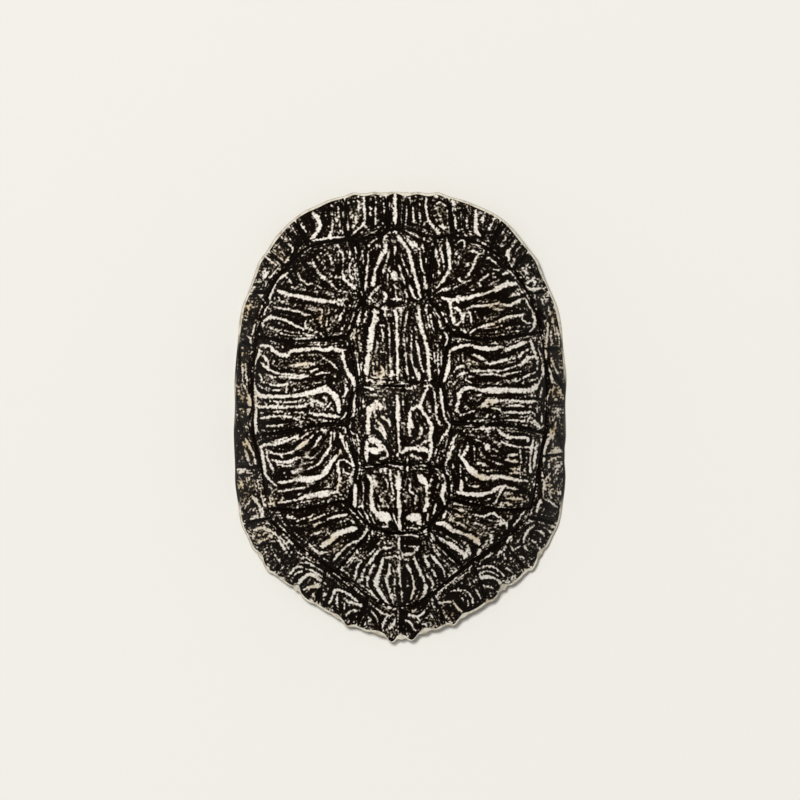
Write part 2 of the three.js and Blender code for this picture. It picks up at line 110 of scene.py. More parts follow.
PIMPLE_RELIEF = 0.05
PIMPLE_SIZE = 1.8
PIMPLE_SEED = 90
LUMP_RISE = 2.5

# The bone under the scutes
BONE_DEPTH = 1.25  # the bone lies this far under the level of the dome
BONE_RINGS = (0.02, 0.15, 0.3, 0.45, 0.6, 0.72, 0.82, 0.9, 0.95, 0.98)
NECK_EDGE = 0.25
SIDE_EDGE = 0.2
NOTCH_FILL = 1.3  # the bone reaches further out of the horn in the rim's notches
NOTCH_SPAN = 12  # a notch is measured against the rim this many vertices each way
NOTCH_START = 0.2
NOTCH_LIMIT = 2.2
EDGE_ROUNDING = 1.2
EDGE_CORNER = (0.3, 0.14)  # the middle of the rounding: how far in, how high in lip thicknesses
EDGE_WIDEST = 0.5  # how high the edge is widest, in lip thicknesses
EDGE_SHOULDER = (0.3, 0.8)  # above it: how far in, how high in lip thicknesses
FLANK_HALF_LENGTH = 58.0  # the pale edge shows beyond this
FLANK_FADE = 18.0
FLANK_DARKNESS = 0.9
FLANK_MOTTLE = 0.3
FLANK_MOTTLE_SIZE = 9.0
FLANK_MOTTLE_SEED = 11
DARKEST_EDGE = 0.12
REST_WIDTH = 5.2
REST_RISE = 1.1  # the inner side of the rim's flat rises this much faster towards the neck and the tail
WALL = 3.8
RIM_WALL = 6.2
RIM_WALL_START = 0.72  # shares of the way from the spine to the rim
RIM_WALL_BLEND = 0.16
ROOF_RINGS = (0.965, 0.94, *np.linspace(0.91, 0.16, 42))
ROOF_BUMPS = 0.15
ROOF_BUMP_SIZE = 5.0
ROOF_BUMP_SEED = 3
RIB_RELIEF = 1.3
RIB_PITCH = 20.0
RIB_ENDS = (0.1, 0.92)  # where the ribs end, by the spine and by the rim
RIB_BLENDS = (0.25, 0.3)
COLUMN_SPREAD = 0.8
SPINE_FRONT = 88.0
SPINE_BACK = -88.0
SPINE_DROP = 8.0
SPINE_END_DROP = 2.0
SPINE_TAPER = 25.0
SPINE_HALF_WIDTH = 5.5
# The spine's flank: half widths from its middle, but at most this share of the last ring, and how far down
SPINE_SECTION = [(1.45, 0.95, 0.0), (1.15, 0.85, 0.25), (1.0, 0.75, 0.75), (0.6, 0.45, 0.95)]

# Smooth noise for the relief: how many waves, how long in sizes, and what brings its spread to one
RIPPLE_WAVES = 7
RIPPLE_LENGTHS = (1.4, 3.0)
RIPPLE_SPREAD = 1.2

# How far round the edge a place of the bone lies, from the covered outside to the underside
COVERED = 0.0
AT_SHOULDER = 0.5
AT_LIP = 0.8
UNDERSIDE = 1.0

# The horn's pattern, worked out on an even grid over the plan and read at each vertex
GRID_STEP = 0.4
GRID_REACH = (96.0, 130.0)
FEEL = 7.0  # a line is felt this far away
PULL_SOFTNESS = 0.6  # its pull on the streaks hardly grows nearer than this
SEAM_PULL = 0.6  # a seam's pull, where a marking's is one
SEAM_THINNING = 4  # every fourth point of a seam is enough for its pull
MARKING_STEP = 1.2
MARKING_SEED = 3
TAPER = 3.0  # a marking narrows over this length at each end
TAPER_START = 0.15
TIP_WIDTH = 0.5
WIDTH_SWING = 0.16
SWING_LENGTHS = (1.6, 3.2)
SWING_STARTS = (0, 6)
STREAK_STEP = 0.5

# What the horn's tone is made of, from black at 0 to cream at 1
GROUND_TONE = 0.165
STREAK_TONE = 0.22
SPECK_TONE = 0.28
CLOUD_TONE = 0.07
WIDE_CLOUD_TONE = 0.04
RING_TONE = 0.2
FIRST_RING = 1.55  # from the seam
RING_STRAY = 0.2
RING_TONE_START = (0.7, 0.6)  # from the seam, and the length over which it comes up
RING_TONE_END = (8.0, 6.0)
HALO_TONE = 0.3  # a marking has a darker halo
HALO_DISTANCE = 1.0
HALO_WIDTH = 0.8
STROKE_TONE = 0.84
STROKE_SPECKS = 0.11
STROKE_SPREAD = 0.28
STROKE_SOFTNESS = 0.62
STROKE_EDGE_SPECKS = 0.17
STROKE_EDGE_STREAKS = 0.14
SEAM_SHADE = 0.7
SEAM_SHADE_WIDTH = 0.6

CORNERS = {
    "rim0L": (-8, 123.8), "rim1L": (-31, 122.6), "rim2L": (-58.8, 110), "rim3L": (-73.5, 92.5),
    "rim4L": (-84.2, 69), "rim5L": (-89.8, 43), "rim6L": (-91.4, 6.8), "rim7L": (-91.3, -27),
    "rim8L": (-87.8, -58.6), "rim9L": (-70.3, -86), "rim10L": (-46.8, -103), "rim11L": (-24.8, -115.2),
    "rim0R": (2.5, 123.8), "rim1R": (27, 122.3), "rim2R": (55.8, 110.2), "rim3R": (71.5, 92.5),
    "rim4R": (82.8, 70), "rim5R": (89.8, 38.5), "rim6R": (90.9, 9), "rim7R": (90.2, -20),
    "rim8R": (87.3, -58.5), "rim9R": (69.8, -84.5), "rim10R": (48.3, -101.8), "rim11R": (25.8, -114.2),
    "foot0L": (-6.5, 104), "foot1L": (-30, 99), "foot2L": (-50.5, 95), "foot3L": (-63, 84),
    "foot4L": (-72.5, 70), "foot5L": (-80.4, 39.5), "foot6L": (-82.2, 6), "foot7L": (-77.3, -26.5),
    "foot8L": (-71.6, -55), "foot9L": (-58, -69), "foot10L": (-40.5, -81.6), "foot11L": (-17.5, -98),
    "foot0R": (1.5, 105), "foot1R": (28, 101.2), "foot2R": (50, 93.5), "foot3R": (61.5, 82),
    "foot4R": (71, 69), "foot5R": (79.6, 38.5), "foot6R": (81.2, 8), "foot7R": (77.8, -21),
    "foot8R": (70.4, -54.6), "foot9R": (57, -67.5), "foot10R": (39.5, -78.8), "foot11R": (17.5, -96.5),
    "rimTail": (0.3, -120.5), "footTail": (-0.2, -104.5),
    "neckL": (-24, 98.3), "costal1L": (-79, 45), "costal2L": (-80.8, -9.5), "costal3L": (-73.4, -50),
    "neckR": (19.5, 99.8), "costal1R": (77.7, 47.5), "costal2R": (79.8, -8), "costal3R": (72.3, -50),
    "tailL": (-36, -85), "tailR": (34.5, -82.8),
    "side2L": (-28.9, 44.8), "side3L": (-29.5, -3), "side4L": (-28.5, -46),
    "side2R": (28.6, 45.9), "side3R": (29, -2.5), "side4R": (27.5, -45),
    "cross1L": (-19.5, 65.5), "cross2L": (-24, 18.8), "cross3L": (-23.6, -26.9), "cross4L": (-15.5, -60.5),
    "cross1R": (15.5, 66.5), "cross2R": (22, 21.3), "cross3R": (23.9, -26.9), "cross4R": (15.3, -60.3),
}
RIM_LINE = [
    "rimTail", (6.3, -123), (10, -119.5), (13.3, -116.8), (20, -117),
    "rim11R", (29.5, -114.6), (31.8, -112.3), (34.8, -108.9), (39, -107.6), (43.5, -105.3),
    "rim10R", (51.5, -100.8), (54.5, -96.5), (56, -92.3), (61, -92.3), (66.5, -88.3),
    "rim9R", (72.6, -84), (75.5, -79.5), (77, -74.6), (81, -71), (84, -65),
    "rim8R", (89.8, -45), (91, -32), "rim7R", (91.2, -10), "rim6R", (91.5, 22),
    "rim5R", (88.6, 52), (86.3, 62), "rim4R", (79.6, 77), (75.6, 87),
    "rim3R", (66.4, 99), (61.5, 105), "rim2R", (50, 113.8), (43, 117), (35, 120.2),
    "rim1R", (21, 124.6), (15.2, 123.9), (9, 124.9), "rim0R", (-0.4, 125), (-5.4, 125),
    "rim0L", (-14, 124.9), (-20.3, 123.9), (-26, 124.5),
    "rim1L", (-39, 120.6), (-46.5, 117.2), (-53, 114.3), "rim2L", (-64, 105.3), (-69.3, 99.3),
    "rim3L", (-78, 86.5), (-81.2, 77.5), "rim4L", (-87, 62.5), (-89, 53),
    "rim5L", (-91.6, 20), "rim6L", (-92, -8), "rim7L", (-91.2, -36), (-89.8, -46),
    "rim8L", (-84.3, -66), (-81.5, -72.3), (-77.3, -76), (-75.7, -80.5), (-73, -84.9),
    "rim9L", (-65, -90), (-60.3, -93), (-56.8, -92.8), (-55, -97.5), (-51, -101.3),
    "rim10L", (-42, -106.3), (-38, -108.3), (-34.8, -109.6), (-32, -112.5), (-29.5, -115.2),
    "rim11L", (-19, -117.8), (-14, -118.2), (-9, -120), (-4.8, -124),
]
SIDE_STOPS = [
    "foot0", "neck", "foot1", "foot2", "foot3", "foot4", "costal1", "foot5", "foot6", "costal2",
    "foot7", "costal3", "foot8", "foot9", "foot10", "tail", "foot11",
]
SEAMS = [
    ["cross1L", (-11.2, 62), (-2.9, 60.5), (6.5, 62.5), "cross1R"],
    ["cross2L", (-11.8, 17.9), (-2.9, 17.2), (12, 18.6), "cross2R"],
    ["cross3L", (-8.5, -24.8), (0.2, -25.3), (14, -25.2), "cross3R"],
    ["cross4L", (-8.5, -62.5), (-0.2, -63.6), (8.9, -62.5), "cross4R"],
    ["footTail", "rimTail"],
    ["neckL", (-22.5, 80), "cross1L"], ["cross1L", (-24.6, 55.5), "side2L"],
    ["side2L", (-25.4, 32), "cross2L"], ["cross2L", (-27.4, 8), "side3L"],
    ["side3L", (-26.4, -15), "cross3L"], ["cross3L", (-26.4, -37), "side4L"],
    ["side4L", (-22, -54.5), "cross4L"], ["cross4L", (-24.8, -72.5), "tailL"],
    ["neckR", (16.8, 82), "cross1R"], ["cross1R", (22.6, 56), "side2R"],
    ["side2R", (24.6, 33), "cross2R"], ["cross2R", (26, 9), "side3R"],
    ["side3R", (26.2, -15), "cross3R"], ["cross3R", (26, -36), "side4R"],
    ["side4R", (21.6, -53.5), "cross4R"], ["cross4R", (24, -71), "tailR"],
    ["side2L", (-44.4, 43.4), (-61, 42.6), "costal1L"], ["side2R", (44.5, 43.8), (60, 45), "costal1R"],
    ["side3L", (-44.4, -3.6), (-64, -7.4), "costal2L"], ["side3R", (46, -3.4), (66, -4.6), "costal2R"],
    ["side4L", (-40, -47), (-55, -50.6), "costal3L"], ["side4R", (43, -47.8), (56, -50.6), "costal3R"],
] + [[f"foot{number}{side}", f"rim{number}{side}"] for side in "LR" for number in range(12)]

SIDE_PROFILE = [
    (0, 1), (0.15, 0.99), (0.283, 0.95), (0.5, 0.842), (0.696, 0.66),
    (0.8, 0.525), (0.9, 0.315), (0.95, 0.17), (1, 0),
]
NECK_PROFILE = [
    (0, 1), (0.169, 0.962), (0.35, 0.867), (0.5, 0.74), (0.65, 0.565),
    (0.75, 0.42), (0.838, 0.27), (0.92, 0.13), (1, 0),
]
TAIL_PROFILE = [
    (0, 1), (0.18, 0.975), (0.35, 0.905), (0.51, 0.785), (0.65, 0.6),
    (0.75, 0.43), (0.86, 0.225), (0.93, 0.105), (1, 0),
]

# The cream markings. Each is its width, and then the plan points it runs through, and ends at a bar.
MARKINGS = {
    "front marginals": """
        2.2 -3,123.5 -3,108 | 1.4 -20.2,122 -20,108 -22.5,105 -25.5,102.5 | 1.2 -20,107.5 -17.5,104 |
        1.4 14.2,123 14.3,115 15.5,109.5 18,105.5 21.5,102 | 2.3 -48.5,113.5 -45,109 -45,104 -49,99 |
        1.1 -38.5,114 -37.5,106 -39,101 | 2.0 41.8,115.5 41.6,108 42,103.5 44,100.5 |
        0.9 -9,119 -9,111 -10,106 | 0.8 -13.5,117 -14,107 | 0.7 -16.5,118 -16.5,110 |
        0.9 -31,119 -31,112 -29,104 | 0.7 -34.5,117 -33.5,106 | 0.9 7,117 7.3,108 | 0.7 10.5,119 11,109 |
        0.7 3.5,117 3,109 | 2.0 22,106.3 24,104.8 | 1.0 30,112 30.5,105 | 0.9 36.5,113 36.5,105 |
        0.7 33.5,114 33.5,107 | 0.8 -26,120 -23.5,120.5 | 0.9 -27,117 -27.5,110 |
        0.8 19,118 22,119.5 24.5,117.5 | 0.8 51,108 49,104 | 0.8 -55,107 -52,103 | 0.8 57,104 54.5,100 |
        1.0 -67.5,96.5 -66,93.5 -64,90 | 1.0 -61.6,95.7 -59.2,93.6 -60,91.5 |
        1.3 -61,90 -62.5,87.5 -63.8,85.5 | 1.3 66,99.5 63,96.8 60.5,93.5 | 2.0 60.5,93.5 59.3,91.5 60,88 |
    """,
    "left marginals": """
        1.4 -79.5,69 -77,67.5 -75.5,68.5 | 1.4 -77,67 -75.5,65 | 1.3 -84.5,45.5 -82.8,43 -82.4,38 -83,32 |
        1.2 -85.3,30 -85.2,24 -84.5,17 | 1.4 -87,19 -84.5,14.5 -83.3,8 -84.2,2 |
        1.5 -86,-10.5 -83,-16 -81,-20 -80.3,-25 | 1.2 -87,-13 -85,-20 -83,-26 | 0.9 -86,-15 -84,-22 |
        2.0 -81.5,-43 -79,-46.5 -77,-50 -76,-54.5 | 1.0 -81,-43.5 -84,-46.5 -86,-50 |
        1.3 -81,-62 -77,-60.5 -73,-61 -70,-63.5 | 1.3 -80,-68 -76,-67.5 -72,-65.5 -69,-63 |
        1.3 -69,-63 -66.5,-67.5 -64,-72 -61.5,-76 | 1.2 -66,-62.5 -62,-66.5 -57.8,-71.5 |
        1.1 -67.5,-64.5 -63.5,-69 -60,-74 | 1.2 -77,-74 -74,-71.5 -70,-70.5 |
        1.4 -70,-74 -68,-77.5 -66,-80.5 | 0.9 -87,40 -87.5,30 -87,20 |
    """,
    "right marginals": """
        1.3 70,72 72.7,70.7 75,65.5 | 1.6 73,71 76.6,71.8 | 1.0 70.5,75 72,76.5 74.5,75.5 74,73.5 |
        0.9 77.6,66.5 79,62.4 | 1.4 81.1,53 81.2,47 80.4,41 80,36 80.5,32.5 |
        1.2 81.6,29.1 82.9,25.1 84,20.4 86,19.4 | 1.2 83.3,17.7 81.6,13.6 80.9,8.2 81,4 |
        0.8 84.7,17.5 84,13.5 85.5,10.5 88,9 | 0.9 83.8,55.4 85.2,48.5 86,43 | 0.9 86.5,50 88,42 87.5,34 |
        0.8 83,33 85.5,27 87.5,24 | 1.5 83,-5.5 82.6,-10.1 80.6,-14.8 79.2,-19.5 78.9,-24 |
        1.0 86,-2 84.5,-9 84.5,-15 | 1.4 77.9,-28.3 79.2,-35.7 78.6,-41.1 79.2,-44.5 82.6,-45.8 86.6,-49.2 |
        1.0 83,-30 80.5,-33 79.3,-36 | 1.8 77.2,-45 75.9,-48 75.2,-51.3 |
        1.5 73.9,-59.3 71,-61.3 69,-64.4 67.8,-68.3 | 0.5 69,-50.5 65,-55.2 61.7,-59.3 |
        1.3 61,-64 59,-68 57.3,-72 | 1.3 61.8,-71.9 62.6,-75 | 1.3 63.4,-71.9 66.4,-70.4 |
        1.4 68.6,-71.9 72.4,-74.2 | 1.3 74.7,-62 78.5,-62.8 79.5,-65 | 1.6 77,-66 77.5,-68.2 |
        1.0 71,-66.5 74,-68 | 0.9 66,-76 69,-77.5 |
    """,
    "rear marginals": """
        2.0 -57,-92 -54,-88.5 -51,-86.5 -47,-87 -44,-89.3 -41,-91.5 |
        1.2 -62,-87 -59.5,-84 -57,-82 -53.5,-82 | 1.0 -59,-87 -57,-85 -54.5,-84.5 |
        1.1 -52,-83 -48.5,-84 -45,-86.3 -41,-89 | 1.0 -55,-79.5 -50,-80 -46,-82.5 -42,-85.5 |
        1.8 -53,-94.5 -49,-92.8 -43,-92.3 | 1.4 -39.5,-102 -37.5,-98 -36,-95 -32,-95.5 -28,-98 -23,-101.5 |
        0.9 -35,-97 -35,-101 -34.5,-104 | 1.8 -32,-99 -29.5,-101 -25,-102.3 -20.5,-103.6 |
        1.0 -31,-101 -31,-105 | 1.2 -30,-108.7 -27,-106.4 -22,-106.2 |
        1.5 -13,-105 -10,-107.5 -7,-109 -4,-108 | 1.3 -7.5,-109 -9.5,-113 -10,-116 |
        1.0 -16,-107 -13.5,-109.5 -12.5,-113 | 1.7 -3,-111 -4,-114 -6,-116 |
        0.5 -43,-79 -36,-84.5 -29,-90 -22,-96 | 0.4 -40,-83 -33,-88.5 -27,-93 -21,-97.5 |
        1.9 40.5,-89.5 44.5,-88.1 50,-87.8 53.5,-89.3 56.6,-93 | 1.0 42,-87 45.2,-84.7 50,-84.7 54.3,-87 |
        1.0 42,-83.2 46,-81.7 50.5,-81.7 54.3,-84 57.3,-87 | 1.4 58.8,-82.5 61.5,-84.7 |
        1.2 46,-92.3 51.3,-93.8 | 1.5 20.3,-102 25.6,-101.4 29.4,-100.6 |
        1.6 29.4,-101 31.6,-104.4 34,-106.6 | 1.2 34,-108 38.4,-108.2 42.2,-106.3 45.2,-104 |
        0.9 30,-95.3 34,-94.6 37.7,-96.1 40,-99.8 40,-103.6 |
        0.8 31.6,-98.3 34.7,-96.8 37,-99.8 37.3,-103.6 | 0.8 33.9,-99.1 35.4,-102.1 |
        0.9 41.5,-94.6 44.5,-99.8 | 1.3 3.5,-108 7,-109 11,-109 13,-107 14.5,-105 |
        0.9 9,-109 10.5,-112 12,-114 | 1.1 3,-111.5 5.5,-113 7.5,-117 |
        0.5 51.3,-74.2 45.2,-78 40,-81 34.7,-84.7 29.4,-89.3 23.3,-93.8 18.8,-98.3 |
        0.4 44,-80 36,-85.5 28,-91.5 20,-98 |
    """,
    "first vertebral": """
        1.2 -19.5,70 -19,76 -18.5,82 -17.5,88 -18,91 -15,94 | 0.8 -18,95 -16,97 -12,99.5 |
        1.1 -8,101.5 -9.5,98 -9,95 | 2.5 -8,96 -8.2,93 | 2.1 -8.2,93 -10,90 -13,84 -14.5,78 -15,73 |
        0.9 -15,71 -12.5,72 -10.5,73.5 | 2.6 -3.6,103 -2.4,102.4 |
        1.8 -1.5,101.5 0,98.5 3,94.5 5,90 6,86 7.5,81 8.5,77 9.5,73 10.5,69 11,66.5 |
        0.9 -6,91 -8,86 -9.5,81 -9.7,78 | 0.8 -5,98.5 -4,96 -3.2,92 -3,88 -3,83 | 0.6 -2.6,96 -2.4,90 |
        0.8 -6,84 -7,80 -7,77 | 3.8 -3.4,80 -3.2,77 | 0.7 0,92 1,88 2,85 3.5,82 4.5,78 |
        0.9 -0.5,84 0.5,80 1.5,77 2.3,74 | 1.2 -3,74 -2.5,70 -2.5,67 | 1.6 -5,65.7 0,65.5 |
        1.2 2.5,71 3.5,67 3,64.5 | 1.2 5,73 7,68 8,66.5 | 1.7 -9.5,70 -8,67 -9,64.5 |
        1.4 -17,67 -15,70 -12,72 | 0.9 6.5,98 8.5,95.5 11,92 11,88.5 11.5,84 13,80 |
        1.2 13,78 13.5,75 14,71.5 | 0.7 4,98 6,95 8,91 | 0.9 12,96 13,92 | 0.7 14,88 14.5,85 |
        0.8 -21.5,70 -20.5,66 -21,64 | 0.7 3,103.5 8,101 13,99 |
    """,
    "second vertebral": """
        2.4 -14.5,60 -14,56 -15,52 | 3.1 -13,55 -15.7,50 -16,46 -17,41 -17.6,36 |
        2.5 -17.6,36 -18.2,30 -18.6,24 | 1.6 -18.6,24 -18.3,21.5 -17,20.5 | 0.8 -18,20.5 -12,20 -5,20 |
        1.9 -22,61 -23,56 -23.5,51.5 | 0.9 -18.5,60 -19,56 -20.5,52 |
        0.9 -9,60 -8,56 -6.5,52 -6,46 -6,40 -5.8,33 -5.8,28 | 1.0 -11,51.5 -8,51 |
        1.1 -10.5,50 -10,46 -9.5,43 | 2.2 -2.8,59.5 -2.4,57 | 1.3 -2.4,57 -2,50 -1.8,40 -1.5,30 -1.5,20.5 |
        0.8 -10,60.5 -4,59.5 | 2.0 4,59 3.4,57 | 1.1 3.4,57 2.5,50 2,47 2.2,42 3,35 3.5,28 4,24 4.5,20.5 |
        1.0 6.5,48 6,43 6,38 6.3,33 7,29 | 1.6 7,29 9,25 10.5,21.5 |
        1.2 9,42 10,37 10.5,33 11.5,29 12.5,26 | 2.1 10,61 10.5,56 11.5,51 12.5,46 13.5,42 |
        2.5 13.5,42 15,38 15.5,33 | 1.9 15.5,33 15.6,28 16,24 16,21 |
        0.8 14.5,63 14,60 15,56 16,51 17.5,47 19,45.5 | 0.6 16.5,58 17,53 18.5,48 | 1.4 18,62 19.5,58 |
        2.0 21.5,53 22.5,49.5 | 0.9 20.5,46.5 22.5,44 23,41.5 | 1.0 24.5,47 26,44 24.5,40 |
        0.9 20.5,41 20.5,35 20.5,29 21,24 20.5,21 | 0.6 18.5,36 19,30 | 0.6 22.5,38 22.5,30 23,25 |
        0.8 -26,39 -25.5,33 -25,27 -24,22.5 | 0.8 -23.5,36 -23.5,30 -22.5,24 | 0.6 -22,30 -21.5,26 |
    """,
    "third vertebral": """
        1.5 -20,17.3 -15,16 | 3.6 -17.3,2 -16.8,5.5 | 4.6 -16.3,5.5 -13.3,7.3 |
        2.2 -17.6,6 -17.8,2 -18,-2 -18,-6 -17,-9.5 | 1.6 -14,10 -11,8 -11,4 |
        3.4 -17,-12 -14,-12.5 -11,-15 | 2.0 -18.5,-12 -18.6,-18 -18.4,-24 |
        3.0 -17,-17.5 -13,-17.5 -9,-16.5 | 1.2 -10,-14 -8,-17 -6.5,-20.5 | 1.5 -13,-1 -10.5,-3.5 -8.5,-8 |
        1.2 -12,-6 -9,-9 -7,-13 | 1.3 -11,1 -7,-1 -5.5,-4 | 0.8 -9,-4 -7,-7 | 1.4 -11,-22.5 -6.5,-20.5 |
        2.4 -1.8,12 -1.5,5 -1.5,-2 | 1.8 -1.5,-2 -1,-10 | 1.3 -1,-10 -0.7,-18 -2,-21.5 | 0.7 -6,9 -6,3 |
        0.9 12.5,17.5 17,18 18.5,14 19,10 19.5,4 20,0 22,-4 | 1.6 14.5,16 12,11 10.5,7 | 2.8 10.5,7 12,4.5 |
        1.7 12,4.5 15.5,-1 17.5,-6 16.5,-9 17,-14 16.5,-20 15,-23.5 | 1.8 9,7 5.5,4.5 |
        1.6 5.5,4 5,0 4.6,-5 5,-9.5 | 2.7 5.6,-1 6.8,-5 | 0.9 8.5,0 9.5,-2 | 1.6 10.5,-3.5 11.8,-6 10.5,-9 |
        0.8 5.5,-13.5 8,-12 10.5,-10.4 | 1.0 7.6,-16.3 11,-14.5 14.5,-12 | 2.6 9.5,-17.3 13,-16.6 15.5,-19 |
        2.0 0.5,-19 4,-16.5 9,-16.8 14,-18 | 1.5 5,-20 9,-21.5 12,-22.5 | 0.9 4,-21 3.6,-25 |
        1.5 22,16 22.5,11 23.5,5 24,1 | 1.3 24.5,0 27,-4 26,-7 23.5,-10 21.5,-14 |
        1.3 29,-11 27,-16 25.5,-21 24,-25 | 0.8 26.5,-10 25,-16 | 0.7 20,-17 19,-21 |
        1.1 -19.5,-26.6 -13.5,-26.2 | 1.3 -7.5,-25 -1,-26.5 | 1.5 -25,16 -25.5,10 -25.5,4 -26,1 |
        0.8 -22.5,15 -22,9 -22.5,3 | 0.9 -27,-2 -28,-6 -25,-9 | 0.9 -24,-9 -23,-14 -22.5,-20 |
        1.2 -30,-13 -28.5,-18 -27,-23 -25.5,-28 | 0.7 -20.5,12 -20.5,4 |
    """,
    "fourth vertebral": """
        0.8 -21.5,-33 -20.5,-38 -20.5,-44 -21,-49 -19,-53 -17,-57 |
        0.8 -18.5,-50 -16,-54 -14,-58 -11.5,-60 | 1.2 -11,-59.5 -8,-59.5 -5,-60 | 2.6 -17.6,-31.5 -16,-34 |
        3.6 -15.8,-35 -14,-36.3 | 2.4 -15.5,-37 -16.3,-41 | 2.0 -14,-35 -11.5,-35.5 |
        1.6 -15,-40 -16.5,-43 -15.5,-46 -16.5,-49 | 2.4 -15.5,-49.5 -13,-52 | 4.6 -12,-53.3 -7,-54 |
        2.6 -10.5,-56.3 -6,-55.5 | 1.0 -4,-52.5 -3,-56 -1.5,-59 0,-61.5 |
        0.9 -11,-31 -8.5,-33 -7,-36 -7.5,-39.5 -10,-41 -11.5,-42.5 | 1.9 -11,-44 -9.5,-46 |
        1.0 -5.5,-28 -5.3,-33 -4.5,-38 -4,-41 | 1.9 -1.2,-29 -1,-34 -0.8,-40 -0.5,-48 -0.5,-56 0,-60.5 |
        0.9 4,-26 3.8,-31 | 4.4 10.6,-32.5 12.6,-35 | 2.3 10,-31 12,-33 14,-36 14.5,-40 |
        1.8 14.5,-40 14.6,-44 14.4,-48 12.5,-51 | 4.6 5,-54.6 10,-54 | 3.2 10,-55.8 10.6,-57.6 |
        1.1 5.5,-36 5,-39 7,-41.5 9,-42 | 2.0 9,-43 8,-46.5 | 1.1 4,-60 8,-60.5 11.5,-60 |
        0.7 17.5,-31.5 16,-36 | 0.7 21,-36 19.5,-39 | 0.7 18,-45 16,-50 | 1.0 19.5,-47 18.5,-51 17,-55 |
        0.8 16,-52 14.5,-56 | 1.8 23,-31 25,-34 24,-38 23,-42 24.5,-47.5 | 0.8 -15,-29.5 -11,-29.8 |
        1.2 -25.5,-29.5 -27.5,-32.5 | 2.4 -27.5,-32.5 -26,-36 -25,-40 -25,-44 -25.4,-49 |
    """,
    "fifth vertebral": """
        0.7 -6,-64.4 5,-64.2 12,-65 | 1.3 -0.7,-65 -1,-70 -0.8,-75 -0.5,-82 -0.3,-90 0.5,-95 1,-102 |
        1.2 -9.5,-77 -7,-76.5 -2,-76 | 2.0 -8,-74.4 -5.5,-74 |
        1.9 -9.5,-77.5 -10.5,-81 -12,-86 -13.3,-91 -12,-95 -9.5,-99 -7,-102 |
        1.5 -6,-80.5 -6.5,-85 -7.5,-88 -7.3,-92 -5.5,-97 -5.3,-99.5 | 1.3 -4,-99.5 -4,-102 |
        1.3 -15,-81 -17,-86 -18.5,-91 -18,-94 | 0.8 -18,-94 -14.5,-98 -12.5,-100.5 |
        1.4 -5,-71 -9,-71.5 -13,-74 -16,-78 -18.5,-81 | 0.8 -14,-72 -18,-75.5 |
        1.4 -21.5,-79 -23.5,-82 -24.5,-86 -25.5,-89 | 0.8 -24,-90 -20,-93 |
        1.4 1,-75 3.5,-75 7,-74 9.5,-71 10,-70 | 2.5 3.6,-74.6 5.6,-74.6 |
        1.9 7.5,-76 9,-81 11.5,-86 13.5,-91 14,-94 12.5,-98 10,-101 |
        1.1 3,-81 5,-84 6.5,-88 7.5,-92 7,-96 5.5,-100 | 1.5 13,-74.5 14,-78 15.5,-82 |
        1.0 13.5,-83 15,-87 18,-91 17.5,-93.5 | 1.4 17,-75 19,-78 22,-81 23.5,-83 24.5,-87 |
        1.3 18,-84 19.5,-87 | 1.0 15.5,-68 16,-71 | 0.8 2,-70 6,-70.5 9.5,-71 | 0.7 -4,-82 -3,-88 -3.5,-94 |
        0.7 22,-90 26,-93 |
    """,
    "first costal, left": """
        2.2 -67.5,70.5 -62,68.5 -55,67 -48,65.5 -40,64.5 -35,64 | 2.0 -35,64.5 -31,65.5 -29,66 |
        3.4 -34,63 -31.5,63 | 1.0 -31,62 -31,59 -33,57 -34,53.5 -37,50 |
        1.3 -70,61.5 -65,60.5 -60,59.5 -55,58.5 -52,57 -49.5,57 | 1.4 -44,60 -43,57 -44.5,54 -43,51 |
        1.0 -46.5,58 -46,55 | 0.9 -40.5,55 -41,51 |
        1.4 -75.5,47 -76,51 -74,55 -71,56 -66,55 -61,53 -57,50.5 -55,50 |
        1.1 -52.5,53 -52,50 -48,48.5 -44,46.5 -42,45 | 0.9 -35,49 -32.5,49 -30.5,51.5 |
        0.9 -69,49.5 -62,48 -56,47 | 0.7 -66,46.5 -60,45.5 | 1.1 -72,63 -72,67 -70,72 -68,76 -64,79 -62,80 |
        0.8 -77,55 -75,59 -73,62 | 2.0 -63,78 -60,74.5 | 1.3 -57,81 -55,77 -50.5,73.5 |
        1.2 -48.5,88 -47,84 -45,80.5 -42,77 -39,75 -35.5,71 | 0.7 -43,86 -40.5,82 -37.5,78 |
        1.3 -32.5,93 -31.5,88 -31.8,82 -31.5,78 -29,74.5 -25,71 | 2.3 -34.8,95.3 -34,94.5 |
        0.7 -36,78 -32,78 | 1.8 -25,94 -24,91 | 1.0 -26,88 -28,84 -27.5,79 -26,77 |
        0.7 -34,70 -29,69.5 -25,68.5 | 0.8 -50,74.5 -45,72.5 -41,71.5 -36,70.5 |
        0.9 -50,98 -45,98.5 -40,99.5 -36,100 -31,100 |
    """,
